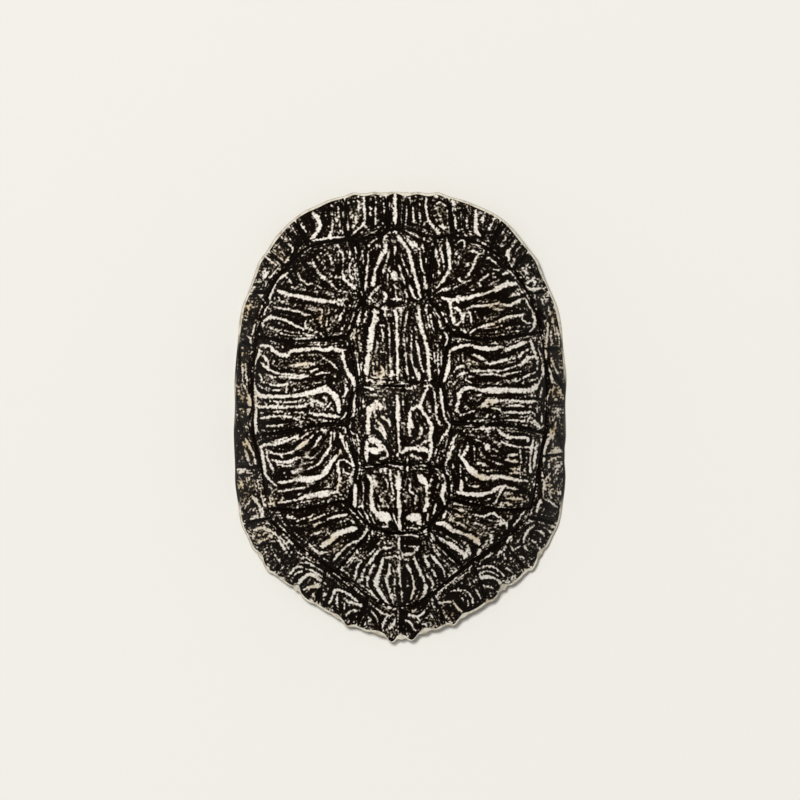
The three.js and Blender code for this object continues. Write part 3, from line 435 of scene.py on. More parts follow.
    "second costal, left": """
        2.0 -77,40.3 -73,39.8 -70,38 -67,35.6 -64,34.8 -61.7,34.3 |
        2.0 -61.7,34.5 -60.5,37 -56,37.5 -51,38 -46,38.3 -41,37.5 -37.5,38.8 -34,37.5 -31,37.3 |
        2.0 -31.8,36 -31,31 -30,27.5 -28,24 -26,20.5 -25,17.5 |
        1.3 -77.3,37.2 -79.2,32.5 -81,28.5 -81.3,23 -80.6,17.7 -80,12.3 -79.6,5.6 -80.3,-1.2 -80,-9.3 |
        0.8 -77,35.5 -73.5,32.5 -72.5,28 |
        1.2 -77,31 -74,27.9 -70.5,26.1 -67,24.7 -61,24.4 -58.4,23.5 -54.3,23.7 -52.3,24.5 |
        1.1 -46,24.3 -41.5,25.1 -38.2,24.4 -36,23 | 0.9 -67,23 -61,22.7 -55.7,22.2 -51,23 -47.6,22.4 |
        1.4 -61,28.7 -56.3,29.5 -51.6,30.5 -47.6,29.8 | 1.0 -42,33 -38.5,31 -36,28.5 -34.5,27 |
        1.2 -73.5,19.8 -71,18.4 -66.5,18.4 -62.3,18.8 | 0.6 -61,24 -62.3,19 -62.8,14 |
        0.9 -78,17.7 -74,15.9 | 2.2 -79,15 -77.5,12.5 -71,12.2 -65,12.2 -60,12.2 |
        2.6 -60,12.2 -54,13 -49,14.3 -45,15.3 | 4.2 -45,15.4 -41,16.5 -38.7,14.6 |
        2.8 -38.5,14.5 -36,12.5 -34.8,10 -34.2,7 -34,3.3 | 1.5 -30.3,18 -30,15 -30.5,12.5 |
        1.7 -78,6 -71,6.2 -64.5,5.9 -58.4,6.6 -54.3,6.9 -51.3,7.6 | 2.2 -46,9.3 -44,8 -42.5,6 |
        1.0 -49.5,8.4 -48,6.5 | 1.0 -41.5,5.8 -39,7.5 -38.5,9.5 |
        1.7 -50,3.5 -46,2 -41,1.8 -37,1.2 -33.5,0.8 | 1.4 -32.5,-0.5 -31,1.5 -29.5,3 |
        1.3 -78,-0.2 -74.5,0.5 -67.8,1.2 -61,0.8 -57.5,-0.2 | 0.7 -65,3.2 -60,2.5 |
        0.9 -75,-4.2 -68,-4 -62,-2.8 | 1.4 -79.5,3 -79.8,-2 -79,-7 -77,-9.5 | 0.7 -56,26.3 -50,26 -45,27.5 |
        0.7 -72,9.3 -62,9 -55,9.6 |
    """,
    "third costal, left": """
        2.0 -77,-16 -74.5,-14.3 -70,-14.2 -66,-13.3 -62,-12 -59,-10.7 -56,-9 |
        0.9 -69,-12 -64,-11 -60,-9.5 | 1.1 -74,-17 -70,-19.2 -66,-19.7 -62,-19.3 -58,-17.5 |
        2.2 -58,-17.3 -54.5,-15 -51,-12 | 1.0 -51,-12 -48,-9.5 | 1.3 -47.5,-16 -46,-13 -43.5,-10 |
        0.8 -50.5,-19.5 -48.5,-15 | 1.4 -70.5,-22.8 -66.5,-23.9 -61,-23.9 -57.7,-22.2 -55.5,-21.5 |
        0.9 -68,-25.3 -63,-26 -58,-25 | 1.5 -38.8,-16 -41,-19 -43,-22.3 -45.5,-26 |
        1.2 -38,-7.5 -38.4,-12 -38.8,-16 | 0.9 -45,-25 -48,-26.5 -51,-28 | 1.3 -36.3,-6.5 -36.3,-11 |
        1.1 -34.3,-7 -32,-10 -31.3,-14 -29.3,-17.5 -27.3,-21.5 -25.8,-25 -26,-28.5 -28,-31.5 |
        2.2 -32.8,-9 -31.8,-13 | 1.1 -35,-27 -34.5,-24.5 -32,-22.8 -29,-23.5 -27,-25.5 |
        1.5 -34.3,-25 -34,-29 -33.5,-33 -34.5,-38 -35,-40.5 | 0.9 -31.5,-26 -31,-29.5 -29,-30.5 |
        1.8 -67,-35.4 -62,-35 -58,-34 | 3.0 -58,-33.8 -52,-34 -47,-33.2 -43,-31.5 |
        3.8 -43,-31.3 -41,-29 -39.5,-26.5 | 2.4 -39,-26 -37,-23 -35,-20.5 |
        1.2 -67,-40 -61,-39.5 -55,-38.3 -50,-37.5 | 0.6 -52,-36.5 -46,-35.5 | 1.6 -55.5,-44.3 -52,-42.7 |
        2.8 -52,-42.5 -47,-42.2 -42,-41.4 -38,-41 | 1.6 -38,-41 -35,-40.5 -32.8,-42 |
        1.3 -67.3,-46.5 -62.4,-45.8 -58.4,-44.8 |
        0.7 -53.7,-51.2 -49.6,-49.2 -45,-47.8 -38.2,-46.5 -32.8,-46.5 -30.8,-48.5 |
        1.6 -77,-15.5 -76,-20 -75.2,-26 -74.5,-30.5 -71.5,-34.5 -68.5,-37 |
        1.3 -73.5,-18 -73,-22 -71,-26 -70,-30 | 0.7 -53,-19 -50,-22 -47,-21 |
    """,
    "fourth costal, left": """
        1.2 -57,-57 -53,-55 -50.5,-54.3 -47,-52 | 1.2 -51,-57 -46.5,-55 -43,-53.3 -40,-52.5 |
        1.3 -40,-55.5 -37,-54.2 -33,-53.6 -29.5,-53 | 0.9 -30,-55 -27,-56 -25,-58 |
        0.8 -28,-50 -24,-54 -20,-58.5 | 0.8 -24,-50 -21,-54 -18,-58 | 2.2 -43.5,-70.5 -40,-68 -37.5,-66 |
        3.2 -37.5,-65.5 -33,-63 -28,-61.3 -24.8,-60.5 |
        1.5 -36.5,-78 -34,-74.5 -31.5,-72 -28,-69.5 -24.3,-67.6 -21.3,-65.4 -19,-61.8 -18.3,-59 |
        1.2 -50.5,-69 -48,-72 -45.5,-74 | 1.8 -45.5,-74 -42.8,-74.2 |
        0.7 -41,-60 -40.3,-63 -42,-65.5 -45,-67 | 1.0 -17,-60 -17.5,-63 -17,-66 | 0.9 -15.5,-61 -15.3,-65 |
        0.4 -68.5,-53 -61,-61 -56,-65 -51,-69 | 0.9 -48,-60 -45,-57.5 -42,-57 |
    """,
    "first costal, right": """
        1.1 18,96 19.5,93 19.5,90 21,86 21.5,83.5 |
        1.8 25.5,98.5 26.6,93.5 27,88 27,82.5 25,78.3 22.8,75 20,72 | 1.0 20,69.2 24,71 28.5,71.8 |
        0.9 29,71.7 33,73.5 37,75.5 39,76 | 0.7 22,94 23,90 24,86 | 0.9 32,97.5 35,98 35.5,95 |
        1.4 43,90.5 41,87 39.5,82 36,77.5 | 1.0 38,92.5 41,92 43,90.5 46,92 | 1.0 47.5,89 52,86 55,83 |
        0.8 50,83 53,82 56,83 | 1.4 48.5,79.5 45.7,77 43,75.3 | 1.6 43,75 43.8,72.6 |
        1.3 56,79.3 61,81 64,78 | 1.0 32,76.5 34,74.5 37,74 |
        2.0 23.5,66.3 27,65 31,65.5 37,66.2 41,67.5 46.5,68.7 50.5,70 |
        2.5 50.5,70 54,72 57,73.5 60.5,74.2 63.8,74 | 1.9 27,64.5 27.6,59.6 28.7,55.4 29.8,52.5 |
        1.0 31,61 33,59 34,56 33,53 31,51.5 29.5,53 | 1.2 35.3,60 35,56 34.5,53 |
        1.6 36,60.5 41,61.7 46.5,62 50.5,62.4 53.5,63.5 57,62.8 60.5,62.3 63,63.5 66,65 |
        1.3 37,60 38.5,57 39,51.5 | 0.8 41,59.5 42.5,56 | 0.8 52,60.3 57,59.6 | 1.2 60,67 65.5,68.4 |
        1.5 43,50 48,51.3 51,52.3 54,53.8 57,55.3 60,56.2 64.5,56.8 69,57.5 |
        1.3 71.3,62 73.4,58.2 74.1,54 73.4,50 71.2,47.7 | 1.0 66,56 68,53.5 71,52.5 73,52.8 |
        2.0 33.5,48.7 36,47.5 | 1.5 38,47 41.5,49.2 | 0.8 46,49.5 51,49.8 57,51.5 |
    """,
    "second costal, right": """
        1.9 34.8,40 38.8,40.6 42,39.2 47.5,38.4 51.6,38.4 56.3,38.9 58.7,37.4 60.5,38.7 64.5,39.9 |
        2.2 64.5,39.9 66.5,41.2 69.3,42 | 1.5 71.8,42.6 73.9,36.5 75.9,31 75.2,26.4 |
        1.2 75.9,38.6 77.9,32.5 78.9,27 78.6,21.7 | 2.0 27.1,36.5 26.7,31.8 26,26.4 24,21 |
        1.8 27,36 29,38 32,39 34.8,40 | 1.2 34.1,36.5 34.8,31 | 1.7 38.5,35.5 42.5,33.8 45.5,32.3 |
        1.3 46,31 48.5,30.3 52,30.6 56,31.5 60,32.3 | 1.0 62,32.5 65.5,34 68,36.2 72,39 |
        1.4 38.8,26.1 42,26.1 49,26.4 53,26.3 57,26.4 60,27.5 64,29.1 68,30.5 70.5,32.8 73,34.3 |
        1.1 42,24.4 45.6,24 52,24.2 55.7,23.4 58.4,24.1 62.4,25.1 66.4,25.5 | 1.3 29.5,26 32,28.3 35,29 |
        1.7 31,22.8 33.5,24.5 36.5,25.3 | 1.6 67.8,22.4 71.2,24.4 75.2,25.8 |
        1.1 70.5,20.4 74.5,21.7 77.2,24.4 | 2.5 31.8,11 32.5,14 35,16.3 39,17.2 |
        2.6 39,16.8 43,15.7 49,15.3 56,15.3 63,15.3 69,15.3 | 2.4 69,15.3 73,16 75.5,18.5 |
        1.3 75.5,18.5 77.3,21.5 78.3,25 | 1.8 32,11 31.3,7 31.7,4 33,2.2 | 1.4 33,2 36.5,3 41,4.4 |
        2.2 44.5,6.3 46.5,8.5 49,9.3 55,9.6 | 1.5 55,9.6 62,9.8 68,9.4 74.5,9.3 | 2.0 45.5,6.8 48.5,6.5 |
        0.9 70.5,12.3 74.5,12.6 | 1.1 77,12 78,17 | 0.9 58.4,6.9 62.4,7.2 67.8,6.9 |
        1.5 56.3,2.5 59.7,3.5 63.8,3.2 67.8,2.9 72.5,3.2 74.2,1.5 | 0.8 50,5.5 54,5.2 56,3 |
        1.2 59,-1.2 63.8,-1.2 69,-1.5 73.2,-1.9 | 2.0 73.2,-1.9 75.9,-3.9 77.2,-5.2 | 1.3 77.9,2.7 78,-2 |
        0.7 36,21 39,19.5 | 0.7 44,-4 50,-4.6 56,-5 |
    """,
    "third costal, right": """
        1.9 54.3,-6.8 57,-9.1 60.5,-10.5 64,-10.8 69,-10.8 70.7,-12.3 |
        1.2 55,-12 57.7,-14.2 61.7,-15.2 65.8,-15.8 71.2,-15.8 | 1.7 59,-20.2 65.3,-20.2 |
        1.7 58.7,-22.9 62.4,-23.6 66.1,-24.3 | 1.2 59,-20.5 59,-23 | 1.2 66,-17 66.3,-24.5 |
        0.9 59.5,-27.6 65.8,-28 | 0.8 59.5,-30 66,-30 | 0.9 66,-26 66,-33 | 2.6 46.7,-14 48.9,-17.5 |
        1.6 51,-16.9 55,-18.9 | 1.3 40.5,-11.5 44.3,-12.5 | 1.0 40.2,-14 40.7,-19 41,-23.5 |
        1.6 41.5,-24.4 45,-25 48.3,-26.3 | 1.1 49,-22.9 52.3,-24.3 57,-25.6 |
        1.6 36.8,-13.5 36.5,-16.9 34.6,-20 | 2.2 32,-20 35,-23.5 37.5,-27 | 3.4 37.5,-27 41,-30.3 44,-32.5 |
        4.2 44,-32 47,-32.8 | 3.0 47,-33 51,-32.2 55,-31.8 | 2.0 55,-31.8 60,-33 65,-34.2 69.5,-34.4 |
        1.2 32.8,-25 33.1,-31.7 | 2.2 33.8,-34.4 33.1,-39.1 | 0.9 35.5,-31.7 36.7,-33.5 |
        1.2 28.7,-25 29.1,-28.3 | 2.4 31.4,-40.4 34.8,-41.1 38.8,-41.8 44.2,-41.8 47.6,-41.1 |
        1.5 47.6,-41.1 51.6,-39.8 54.3,-37.7 57.7,-37.7 | 1.2 56.3,-38.4 54.3,-42.4 51.5,-48 |
        1.2 57.7,-37.4 61,-38.4 65.1,-39.1 | 1.6 73.2,-12.5 72.2,-17.5 71.5,-25 71.8,-29.7 |
        1.3 75.2,-12.1 74.5,-18.2 73.5,-27 | 0.6 40.2,-47.5 50.3,-48.2 | 1.0 58,-44 63,-44.5 67,-44 |
        1.0 59,-47 64,-48 | 1.4 32,-8 30,-10 29,-14 27,-20 25,-24 24,-27 26,-31 |
        0.8 40,-6 46,-5.5 51,-5.5 | 0.8 38,-37 41,-37.8 45,-37 |
    """,
    "fourth costal, right": """
        1.1 40.2,-52.5 45,-53.9 47.6,-53.2 50.3,-51.9 53.7,-53.9 57,-55.9 |
        1.1 47.6,-55.2 51.6,-56.6 55.7,-56.6 | 1.2 55,-59 58.5,-57.5 58.8,-61 | 1.2 23.3,-55.2 25.4,-51.2 |
        2.4 20,-57.8 24,-58.2 27.5,-60.5 32,-62.7 36,-64.3 | 3.2 36,-64 40,-66 43,-68.3 |
        1.8 21.5,-65.7 25,-68.1 28,-69.6 31,-71.9 34,-74.2 37,-77.3 |
        0.6 25.5,-64.8 28.5,-66.6 31.5,-68.8 34.5,-71.3 | 1.0 37,-70 38.5,-73 38.5,-76 |
        2.2 43.8,-72.5 43,-75 | 1.2 50,-64 49.6,-68.5 | 1.2 50.5,-62.8 52,-62 |
        0.8 25.6,-76.4 30,-79.5 33.5,-81.5 | 1.4 31,-54 34,-54 | 1.0 28,-51 31,-52.5 | 1.6 17,-62 19,-67 |
        1.0 29,-57 33,-58 36,-60 |
    """,
}

# Where the horn is mottled and stained: the middle of a patch, the radius, how much paler, how brown
MOTTLED_PATCHES = [
    (-26, 111, 6, 0.14, 0.3), (22, 112, 6, 0.12, 0.3), (-66, 90, 6, 0.1, 0.8), (-8, 14, 8, 0.08, 0.2),
    (-11, 32, 6, 0.14, 0.5), (-12, 25, 5, 0.12, 0.5), (-25, 46, 5, 0.12, 0.4), (-13, 0, 7, 0.16, 0.3),
    (11, -8, 6, 0.1, 0.2), (-12, -41, 6, 0.14, 0.3), (10, -43, 6, 0.1, 0.2),
    (8, -100, 6, 0.1, 0.5), (28, -106, 5, 0.12, 0.9), (-44, 55, 6, 0.12, 0.7), (-54, 31, 6, 0.14, 0.6),
    (-53, -15, 5, 0.14, 0.6), (-33, -19, 3.5, 0.16, 0.6), (-34, -36, 4, 0.12, 0.6), (-36, -69, 5, 0.14, 0.8),
    (-48, -59, 5, 0.12, 0.6), (-76, -65, 6, 0.12, 0.7), (-48, -93, 4, 0.1, 0.6), (-70, -45, 5, 0.1, 0.6),
    (54, 49, 6, 0.12, 0.7), (52, 63, 7, 0.1, 0.6), (49, 8, 4, 0.1, 0.6), (39, 32, 4, 0.12, 0.5),
    (45, -32, 5, 0.1, 0.6), (62, -45, 6, 0.15, 0.7), (62, -27, 5, 0.08, 0.7), (33, -54, 6, 0.12, 0.6),
    (41, -65, 4, 0.1, 0.9), (85, -6, 5, 0.1, 1.0), (86, 14, 6, 0.01, 1.0), (86, 35, 8, 0.01, 1.0),
    (87, 55, 7, 0.0, 1.0), (84, -20, 5, 0.08, 0.6), (83, -38, 6, 0.1, 0.6), (-87, -40, 8, 0.05, 1.0),
    (-87, -15, 7, 0.0, 1.0), (-88, 10, 8, 0.02, 1.0), (-88, 35, 8, 0.02, 1.0), (-85, 60, 7, 0.0, 1.0),
]


def ease(share):
    t = np.clip(share, 0.0, 1.0)
    return t * t * (3 - 2 * t)


def mix(a, b, share):
    return a + (b - a) * share


def hump(distance, width):
    """One where the distance is nothing, falling off smoothly over the width."""
    return np.exp(-((distance / width) ** 2))


def read_profile(profile, at):
    """A smooth curve through a profile's points, read at every place in `at`."""
    x, y = np.array(profile, float).T
    slope = np.empty(len(x))
    slope[1:-1] = (y[2:] - y[:-2]) / (x[2:] - x[:-2])
    slope[0] = 0.0
    slope[-1] = (y[-1] - y[-2]) / (x[-1] - x[-2])
    i = np.clip(np.searchsorted(x, at, "right") - 1, 0, len(x) - 2)
    width = x[i + 1] - x[i]
    t = (at - x[i]) / width
    bend = t * (1 - t) * width * ((1 - t) * slope[i] - t * slope[i + 1])
    return mix(y[i], y[i + 1], ease(t)) + bend


def span(before, start, end, after, count):
    """Points on a smooth curve from start up to, and without, end."""
    p0, p1, p2, p3 = (np.array(p, float) for p in (before, start, end, after))
    d0, d1, d2 = (max(np.linalg.norm(b - a) ** 0.5, TINY) for a, b in ((p0, p1), (p1, p2), (p2, p3)))
    leave = ((p1 - p0) / d0 - (p2 - p0) / (d0 + d1) + (p2 - p1) / d1) * d1
    arrive = ((p2 - p1) / d1 - (p3 - p1) / (d1 + d2) + (p3 - p2) / d2) * d1
    t = (np.arange(count) / count)[:, None]
    cubic = 2 * (p1 - p2) + leave + arrive
    square = 3 * (p2 - p1) - 2 * leave - arrive
    return p1 + leave * t + square * t**2 + cubic * t**3


def smooth_spans(points, closed, step):
    """One array of points for each span between two of `points`, a step apart."""
    places = [np.array(p, float) for p in points]
    last = len(places) - 1
    spans = []
    for i in range(last + closed):
        start, end = places[i], places[(i + 1) % (last + 1)]
        before = places[i - 1] if i > 0 or closed else 2 * start - end
        after = places[(i + 2) % (last + 1)] if i + 1 < last or closed else 2 * end - start
        count = max(1, round(float(np.linalg.norm(end - start)) / step))
        spans.append(span(before, start, end, after, count))
    return spans


# The outline without its scallops: the distance from the centre in each direction
outline_corners = [CORNERS[stop] for stop in RIM_LINE if isinstance(stop, str)]
outline_from_centre = np.vstack(smooth_spans(outline_corners, True, OUTLINE_STEP)) - CENTRE
outline_angle = np.arctan2(outline_from_centre[:, 1], outline_from_centre[:, 0])
outline_order = np.argsort(outline_angle)
outline_angle = outline_angle[outline_order]
outline_distance = np.linalg.norm(outline_from_centre, axis=1)[outline_order]


def outline_reach(angle):
    return np.interp(angle, outline_angle, outline_distance, period=2 * math.pi)


def rim_lift(y):
    neck = NECK_LIFT * ease((y - REST_HALF_LENGTH) / NECK_RISE_LENGTH)
    tail = TAIL_LIFT * ease((-y - REST_HALF_LENGTH) / TAIL_RISE_LENGTH)
    return neck + tail


def dome_height(plan):
    dx, dy = plan[:, 0] - CENTRE[0], plan[:, 1] - CENTRE[1]
    distance = np.maximum(np.hypot(dx, dy), TINY)
    reach = outline_reach(np.arctan2(dy, dx))
    share = np.minimum(distance / reach, 1.0)
    along = (dy / np.where(dy > 0, NECK_REACH, TAIL_REACH)) ** 2
    across = (dx / HALF_WIDTH) ** 2
    end_share = along / np.maximum(along + across, TINY**2)
    end = np.where(dy > 0, read_profile(NECK_PROFILE, share), read_profile(TAIL_PROFILE, share))
    left = mix(read_profile(SIDE_PROFILE, share), end, end_share)
    rim_top = rim_lift(CENTRE[1] + dy * reach / distance) + LIP_THICKNESS
    return mix(rim_top, CROWN_HEIGHT, left)


def on_dome(plan, rise):
    """Points over plan places, raised square to the dome's surface."""
    east, north = np.array([SLOPE_STEP, 0.0]), np.array([0.0, SLOPE_STEP])
    slope_x = (dome_height(plan + east) - dome_height(plan - east)) / (2 * SLOPE_STEP)
    slope_y = (dome_height(plan + north) - dome_height(plan - north)) / (2 * SLOPE_STEP)
    normal = np.column_stack([-slope_x, -slope_y, np.ones(len(plan))])
    normal /= np.linalg.norm(normal, axis=1, keepdims=True)
    surface = np.column_stack([plan, dome_height(plan)])
    return surface + normal * np.reshape(rise, (-1, 1))


def ripple(plan, size, seed):
    """Smooth noise over the plan, from about -1 to 1, with features about `size` across."""
    random = np.random.default_rng(seed)
    angle = random.uniform(0, math.pi, RIPPLE_WAVES)
    length = size * random.uniform(*RIPPLE_LENGTHS, RIPPLE_WAVES)
    start = random.uniform(0, 2 * math.pi, RIPPLE_WAVES)
    travel = plan @ np.array([np.cos(angle), np.sin(angle)])
    waves = np.sin(travel * (2 * math.pi / length) + start)
    return waves.sum(axis=1) / RIPPLE_WAVES**0.5 / RIPPLE_SPREAD


# Seam curves, from one named corner to the next
edges = {}


def trace_line(line, closed):
    places = [CORNERS[stop] if isinstance(stop, str) else stop for stop in line]
    spans = smooth_spans(places, closed, MESH_STEP)
    start, run = None, []
    for i in range(len(spans) + 1):
        stop = line[i % len(line)]
        if isinstance(stop, str):
            here = np.array([CORNERS[stop]], float)
            if start:
                path = np.vstack([*run, here])
                edges[start, stop] = path
                edges[stop, start] = path[::-1]
            start, run = stop, []
        if i < len(spans):
            run.append(spans[i])


groove_line = (
    ["footTail"]
    + [stop + "R" for stop in reversed(SIDE_STOPS)]
    + [stop + "L" for stop in SIDE_STOPS]
)
trace_line(RIM_LINE, True)
trace_line(groove_line, True)
for seam in SEAMS:
    trace_line(seam, False)

grid_x, grid_y = np.meshgrid(*(np.arange(-reach, reach + GRID_STEP, GRID_STEP) for reach in GRID_REACH))


class LineField:
    """How deep each place of the grid lies in the nearest line, and how the lines around it run."""

    def __init__(self):
        self.depth = np.full(grid_x.shape, -FEEL)
        self.run_x = np.zeros(grid_x.shape)
        self.run_y = np.zeros(grid_x.shape)

    def draw(self, path, half_widths):
        for a, b, half in zip(path[:-1], path[1:], half_widths):
            low = np.floor((np.minimum(a, b) - half - FEEL + GRID_REACH) / GRID_STEP).astype(int)
            high = np.ceil((np.maximum(a, b) + half + FEEL + GRID_REACH) / GRID_STEP).astype(int) + 1
            cut = tuple(slice(max(low[axis], 0), max(high[axis], 0)) for axis in (1, 0))
            run = b - a
            length = float(run @ run) ** 0.5
            dx, dy = grid_x[cut] - a[0], grid_y[cut] - a[1]
            share = np.clip((dx * run[0] + dy * run[1]) / length**2, 0, 1)
            away = np.hypot(dx - share * run[0], dy - share * run[1])
            self.depth[cut] = np.maximum(self.depth[cut], half - away)
            pull = length / (away + PULL_SOFTNESS) ** 3
            # a line's two directions count as one, so its angle is doubled
            twice = 2 * math.atan2(run[1], run[0])
            self.run_x[cut] += pull * math.cos(twice)
            self.run_y[cut] += pull * math.sin(twice)


def marking_paths():
    """Each marking's points and its half width between them, narrower towards its ends."""
    random = np.random.default_rng(MARKING_SEED)
    for group in MARKINGS.values():
        for width, *points in filter(None, map(str.split, group.split("|"))):
            places = [tuple(float(v) for v in point.split(",")) for point in points]
            path = np.vstack([*smooth_spans(places, False, MARKING_STEP), np.array(places[-1:])])
            steps = np.linalg.norm(np.diff(path, axis=0), axis=1)
            at = np.cumsum(steps) - steps / 2
            end_distance = np.minimum(at, steps.sum() - at)
            wave = np.sin(at / random.uniform(*SWING_LENGTHS) + random.uniform(*SWING_STARTS))
            swing = 1 + WIDTH_SWING * wave
            taper = TIP_WIDTH + (1 - TIP_WIDTH) * ease(end_distance / TAPER + TAPER_START)
            yield path, float(width) / 2 * swing * taper


def grain(seed, softness):
    """Even noise over the grid, with a spread of one, softened this many times."""
    values = np.random.default_rng(seed).standard_normal(grid_x.shape)
    for _ in range(softness):
        for axis in (0, 1):
            values = (np.roll(values, 1, axis) + 2 * values + np.roll(values, -1, axis)) / 4
    return (values - values.mean()) / values.std()


def streaks(heading, seed, softness, steps):
    """Noise drawn out along the headings, this many steps each way."""
    noise = grain(seed, softness)
    total = noise.copy()
    rows, columns = np.indices(noise.shape)
    for sign in (1, -1):
        across, up = columns.astype(float), rows.astype(float)
        go_x, go_y = sign * np.cos(heading), sign * np.sin(heading)
        for _ in range(steps):
            across = np.clip(across + go_x * STREAK_STEP / GRID_STEP, 0, noise.shape[1] - 1)
            up = np.clip(up + go_y * STREAK_STEP / GRID_STEP, 0, noise.shape[0] - 1)
            here = np.rint(up).astype(int), np.rint(across).astype(int)
            total += noise[here]
            next_x, next_y = np.cos(heading[here]), np.sin(heading[here])
            same_way = np.where(next_x * go_x + next_y * go_y < 0, -1, 1)
            go_x, go_y = next_x * same_way, next_y * same_way
    return (total - total.mean()) / total.std()


def horn_patches():
    """How much paler and how much browner the horn is over the grid."""
    paler, browner = np.zeros(grid_x.shape), np.zeros(grid_x.shape)
    for x, y, radius, lift, stain in MOTTLED_PATCHES:
        near = np.exp(-((grid_x - x) ** 2 + (grid_y - y) ** 2) / radius**2)
        paler += lift * near
        browner += stain * near
    return paler, np.minimum(browner, 1.0)


def ring_tone(seam, clouds):
    """The growth rings' light and dark beside a seam, from -1 to 1."""
    start, rise = RING_TONE_START
    end, fall = RING_TONE_END
    rings = np.cos(2 * math.pi * (seam - FIRST_RING + RING_STRAY * clouds) / RING_PITCH)
    return rings * ease((seam - start) / rise) * ease((end - seam) / fall)


def horn_tone(paler):
    """The horn's tone over the grid, from black at 0 to cream at 1, without its finest grain."""
    marks, seams = LineField(), LineField()
    for path, half_widths in marking_paths():
        marks.draw(path, half_widths)
    for (start, end), path in edges.items():
        if start < end and not start[:3] == end[:3] == "rim":
            thinned = np.vstack([path[:-1:SEAM_THINNING], path[-1:]])
            seams.draw(thinned, np.zeros(len(thinned) - 1))
    run_x = marks.run_x + SEAM_PULL * seams.run_x
    run_y = marks.run_y + SEAM_PULL * seams.run_y
    long = streaks(np.arctan2(run_y, run_x) / 2, seed=1, softness=1, steps=9)
    specks = grain(seed=5, softness=1)
    clouds = grain(seed=6, softness=60)
    wide_clouds = grain(seed=7, softness=500)

    between = GROUND_TONE + STREAK_TONE * long + SPECK_TONE * specks + CLOUD_TONE * clouds
    between = between + WIDE_CLOUD_TONE * wide_clouds + RING_TONE * ring_tone(-seams.depth, clouds)
    between = between - HALO_TONE * hump(marks.depth + HALO_DISTANCE, HALO_WIDTH) + paler
    stroke_depth = marks.depth + STROKE_EDGE_SPECKS * specks + STROKE_EDGE_STREAKS * long + STROKE_SPREAD
    stroke = ease(stroke_depth / STROKE_SOFTNESS) * (STROKE_TONE + STROKE_SPECKS * specks)
    return np.maximum(between, stroke)


def read_grid(grid, plan):
    column, row = ((plan + GRID_REACH) / GRID_STEP).T
    i, j = np.floor(row).astype(int), np.floor(column).astype(int)
    across = column - j
    near = mix(grid[i, j], grid[i, j + 1], across)
    far = mix(grid[i + 1, j], grid[i + 1, j + 1], across)
    return mix(near, far, row - i)


HORN_PALER, HORN_STAIN = horn_patches()
HORN_TONE = horn_tone(HORN_PALER)


def area_of(loop):
    x, y = loop.T
    return (x * np.roll(y, -1) - np.roll(x, -1) * y).sum() / 2


def closed_loop(names):
    """The anticlockwise loop through these corners, resampled evenly to a count that two divides."""
    path = np.vstack([edges[a, b][:-1] for a, b in zip(names, names[1:] + names[:1])])
    if area_of(path) < 0:
        path = path[::-1]
    whole = np.vstack([path, path[:1]])
    lengths = np.concatenate([[0], np.cumsum(np.linalg.norm(np.diff(whole, axis=0), axis=1))])
    count = 2 * round(lengths[-1] / (2 * MESH_STEP))
    at = np.arange(count) * lengths[-1] / count
    return np.column_stack([np.interp(at, lengths, whole[:, 0]), np.interp(at, lengths, whole[:, 1])])


def outward_normals(loop, reach):
    """The way out of the loop at each vertex, from its neighbours `reach` away."""
    run = np.roll(loop, -reach, axis=0) - np.roll(loop, reach, axis=0)
    run /= np.linalg.norm(run, axis=1, keepdims=True)
    return np.column_stack([run[:, 1], -run[:, 0]])


def one_way(reach):
    """The values round a loop, made to climb from the lowest to the highest and to fall from there."""
    start = int(np.argmin(reach))
    turned = np.roll(reach, -start)
    top = int(np.argmax(turned))
    turned[:top + 1] = np.maximum.accumulate(turned[:top + 1])
    turned[top:] = np.minimum.accumulate(turned[top:])
    return np.roll(turned, start)


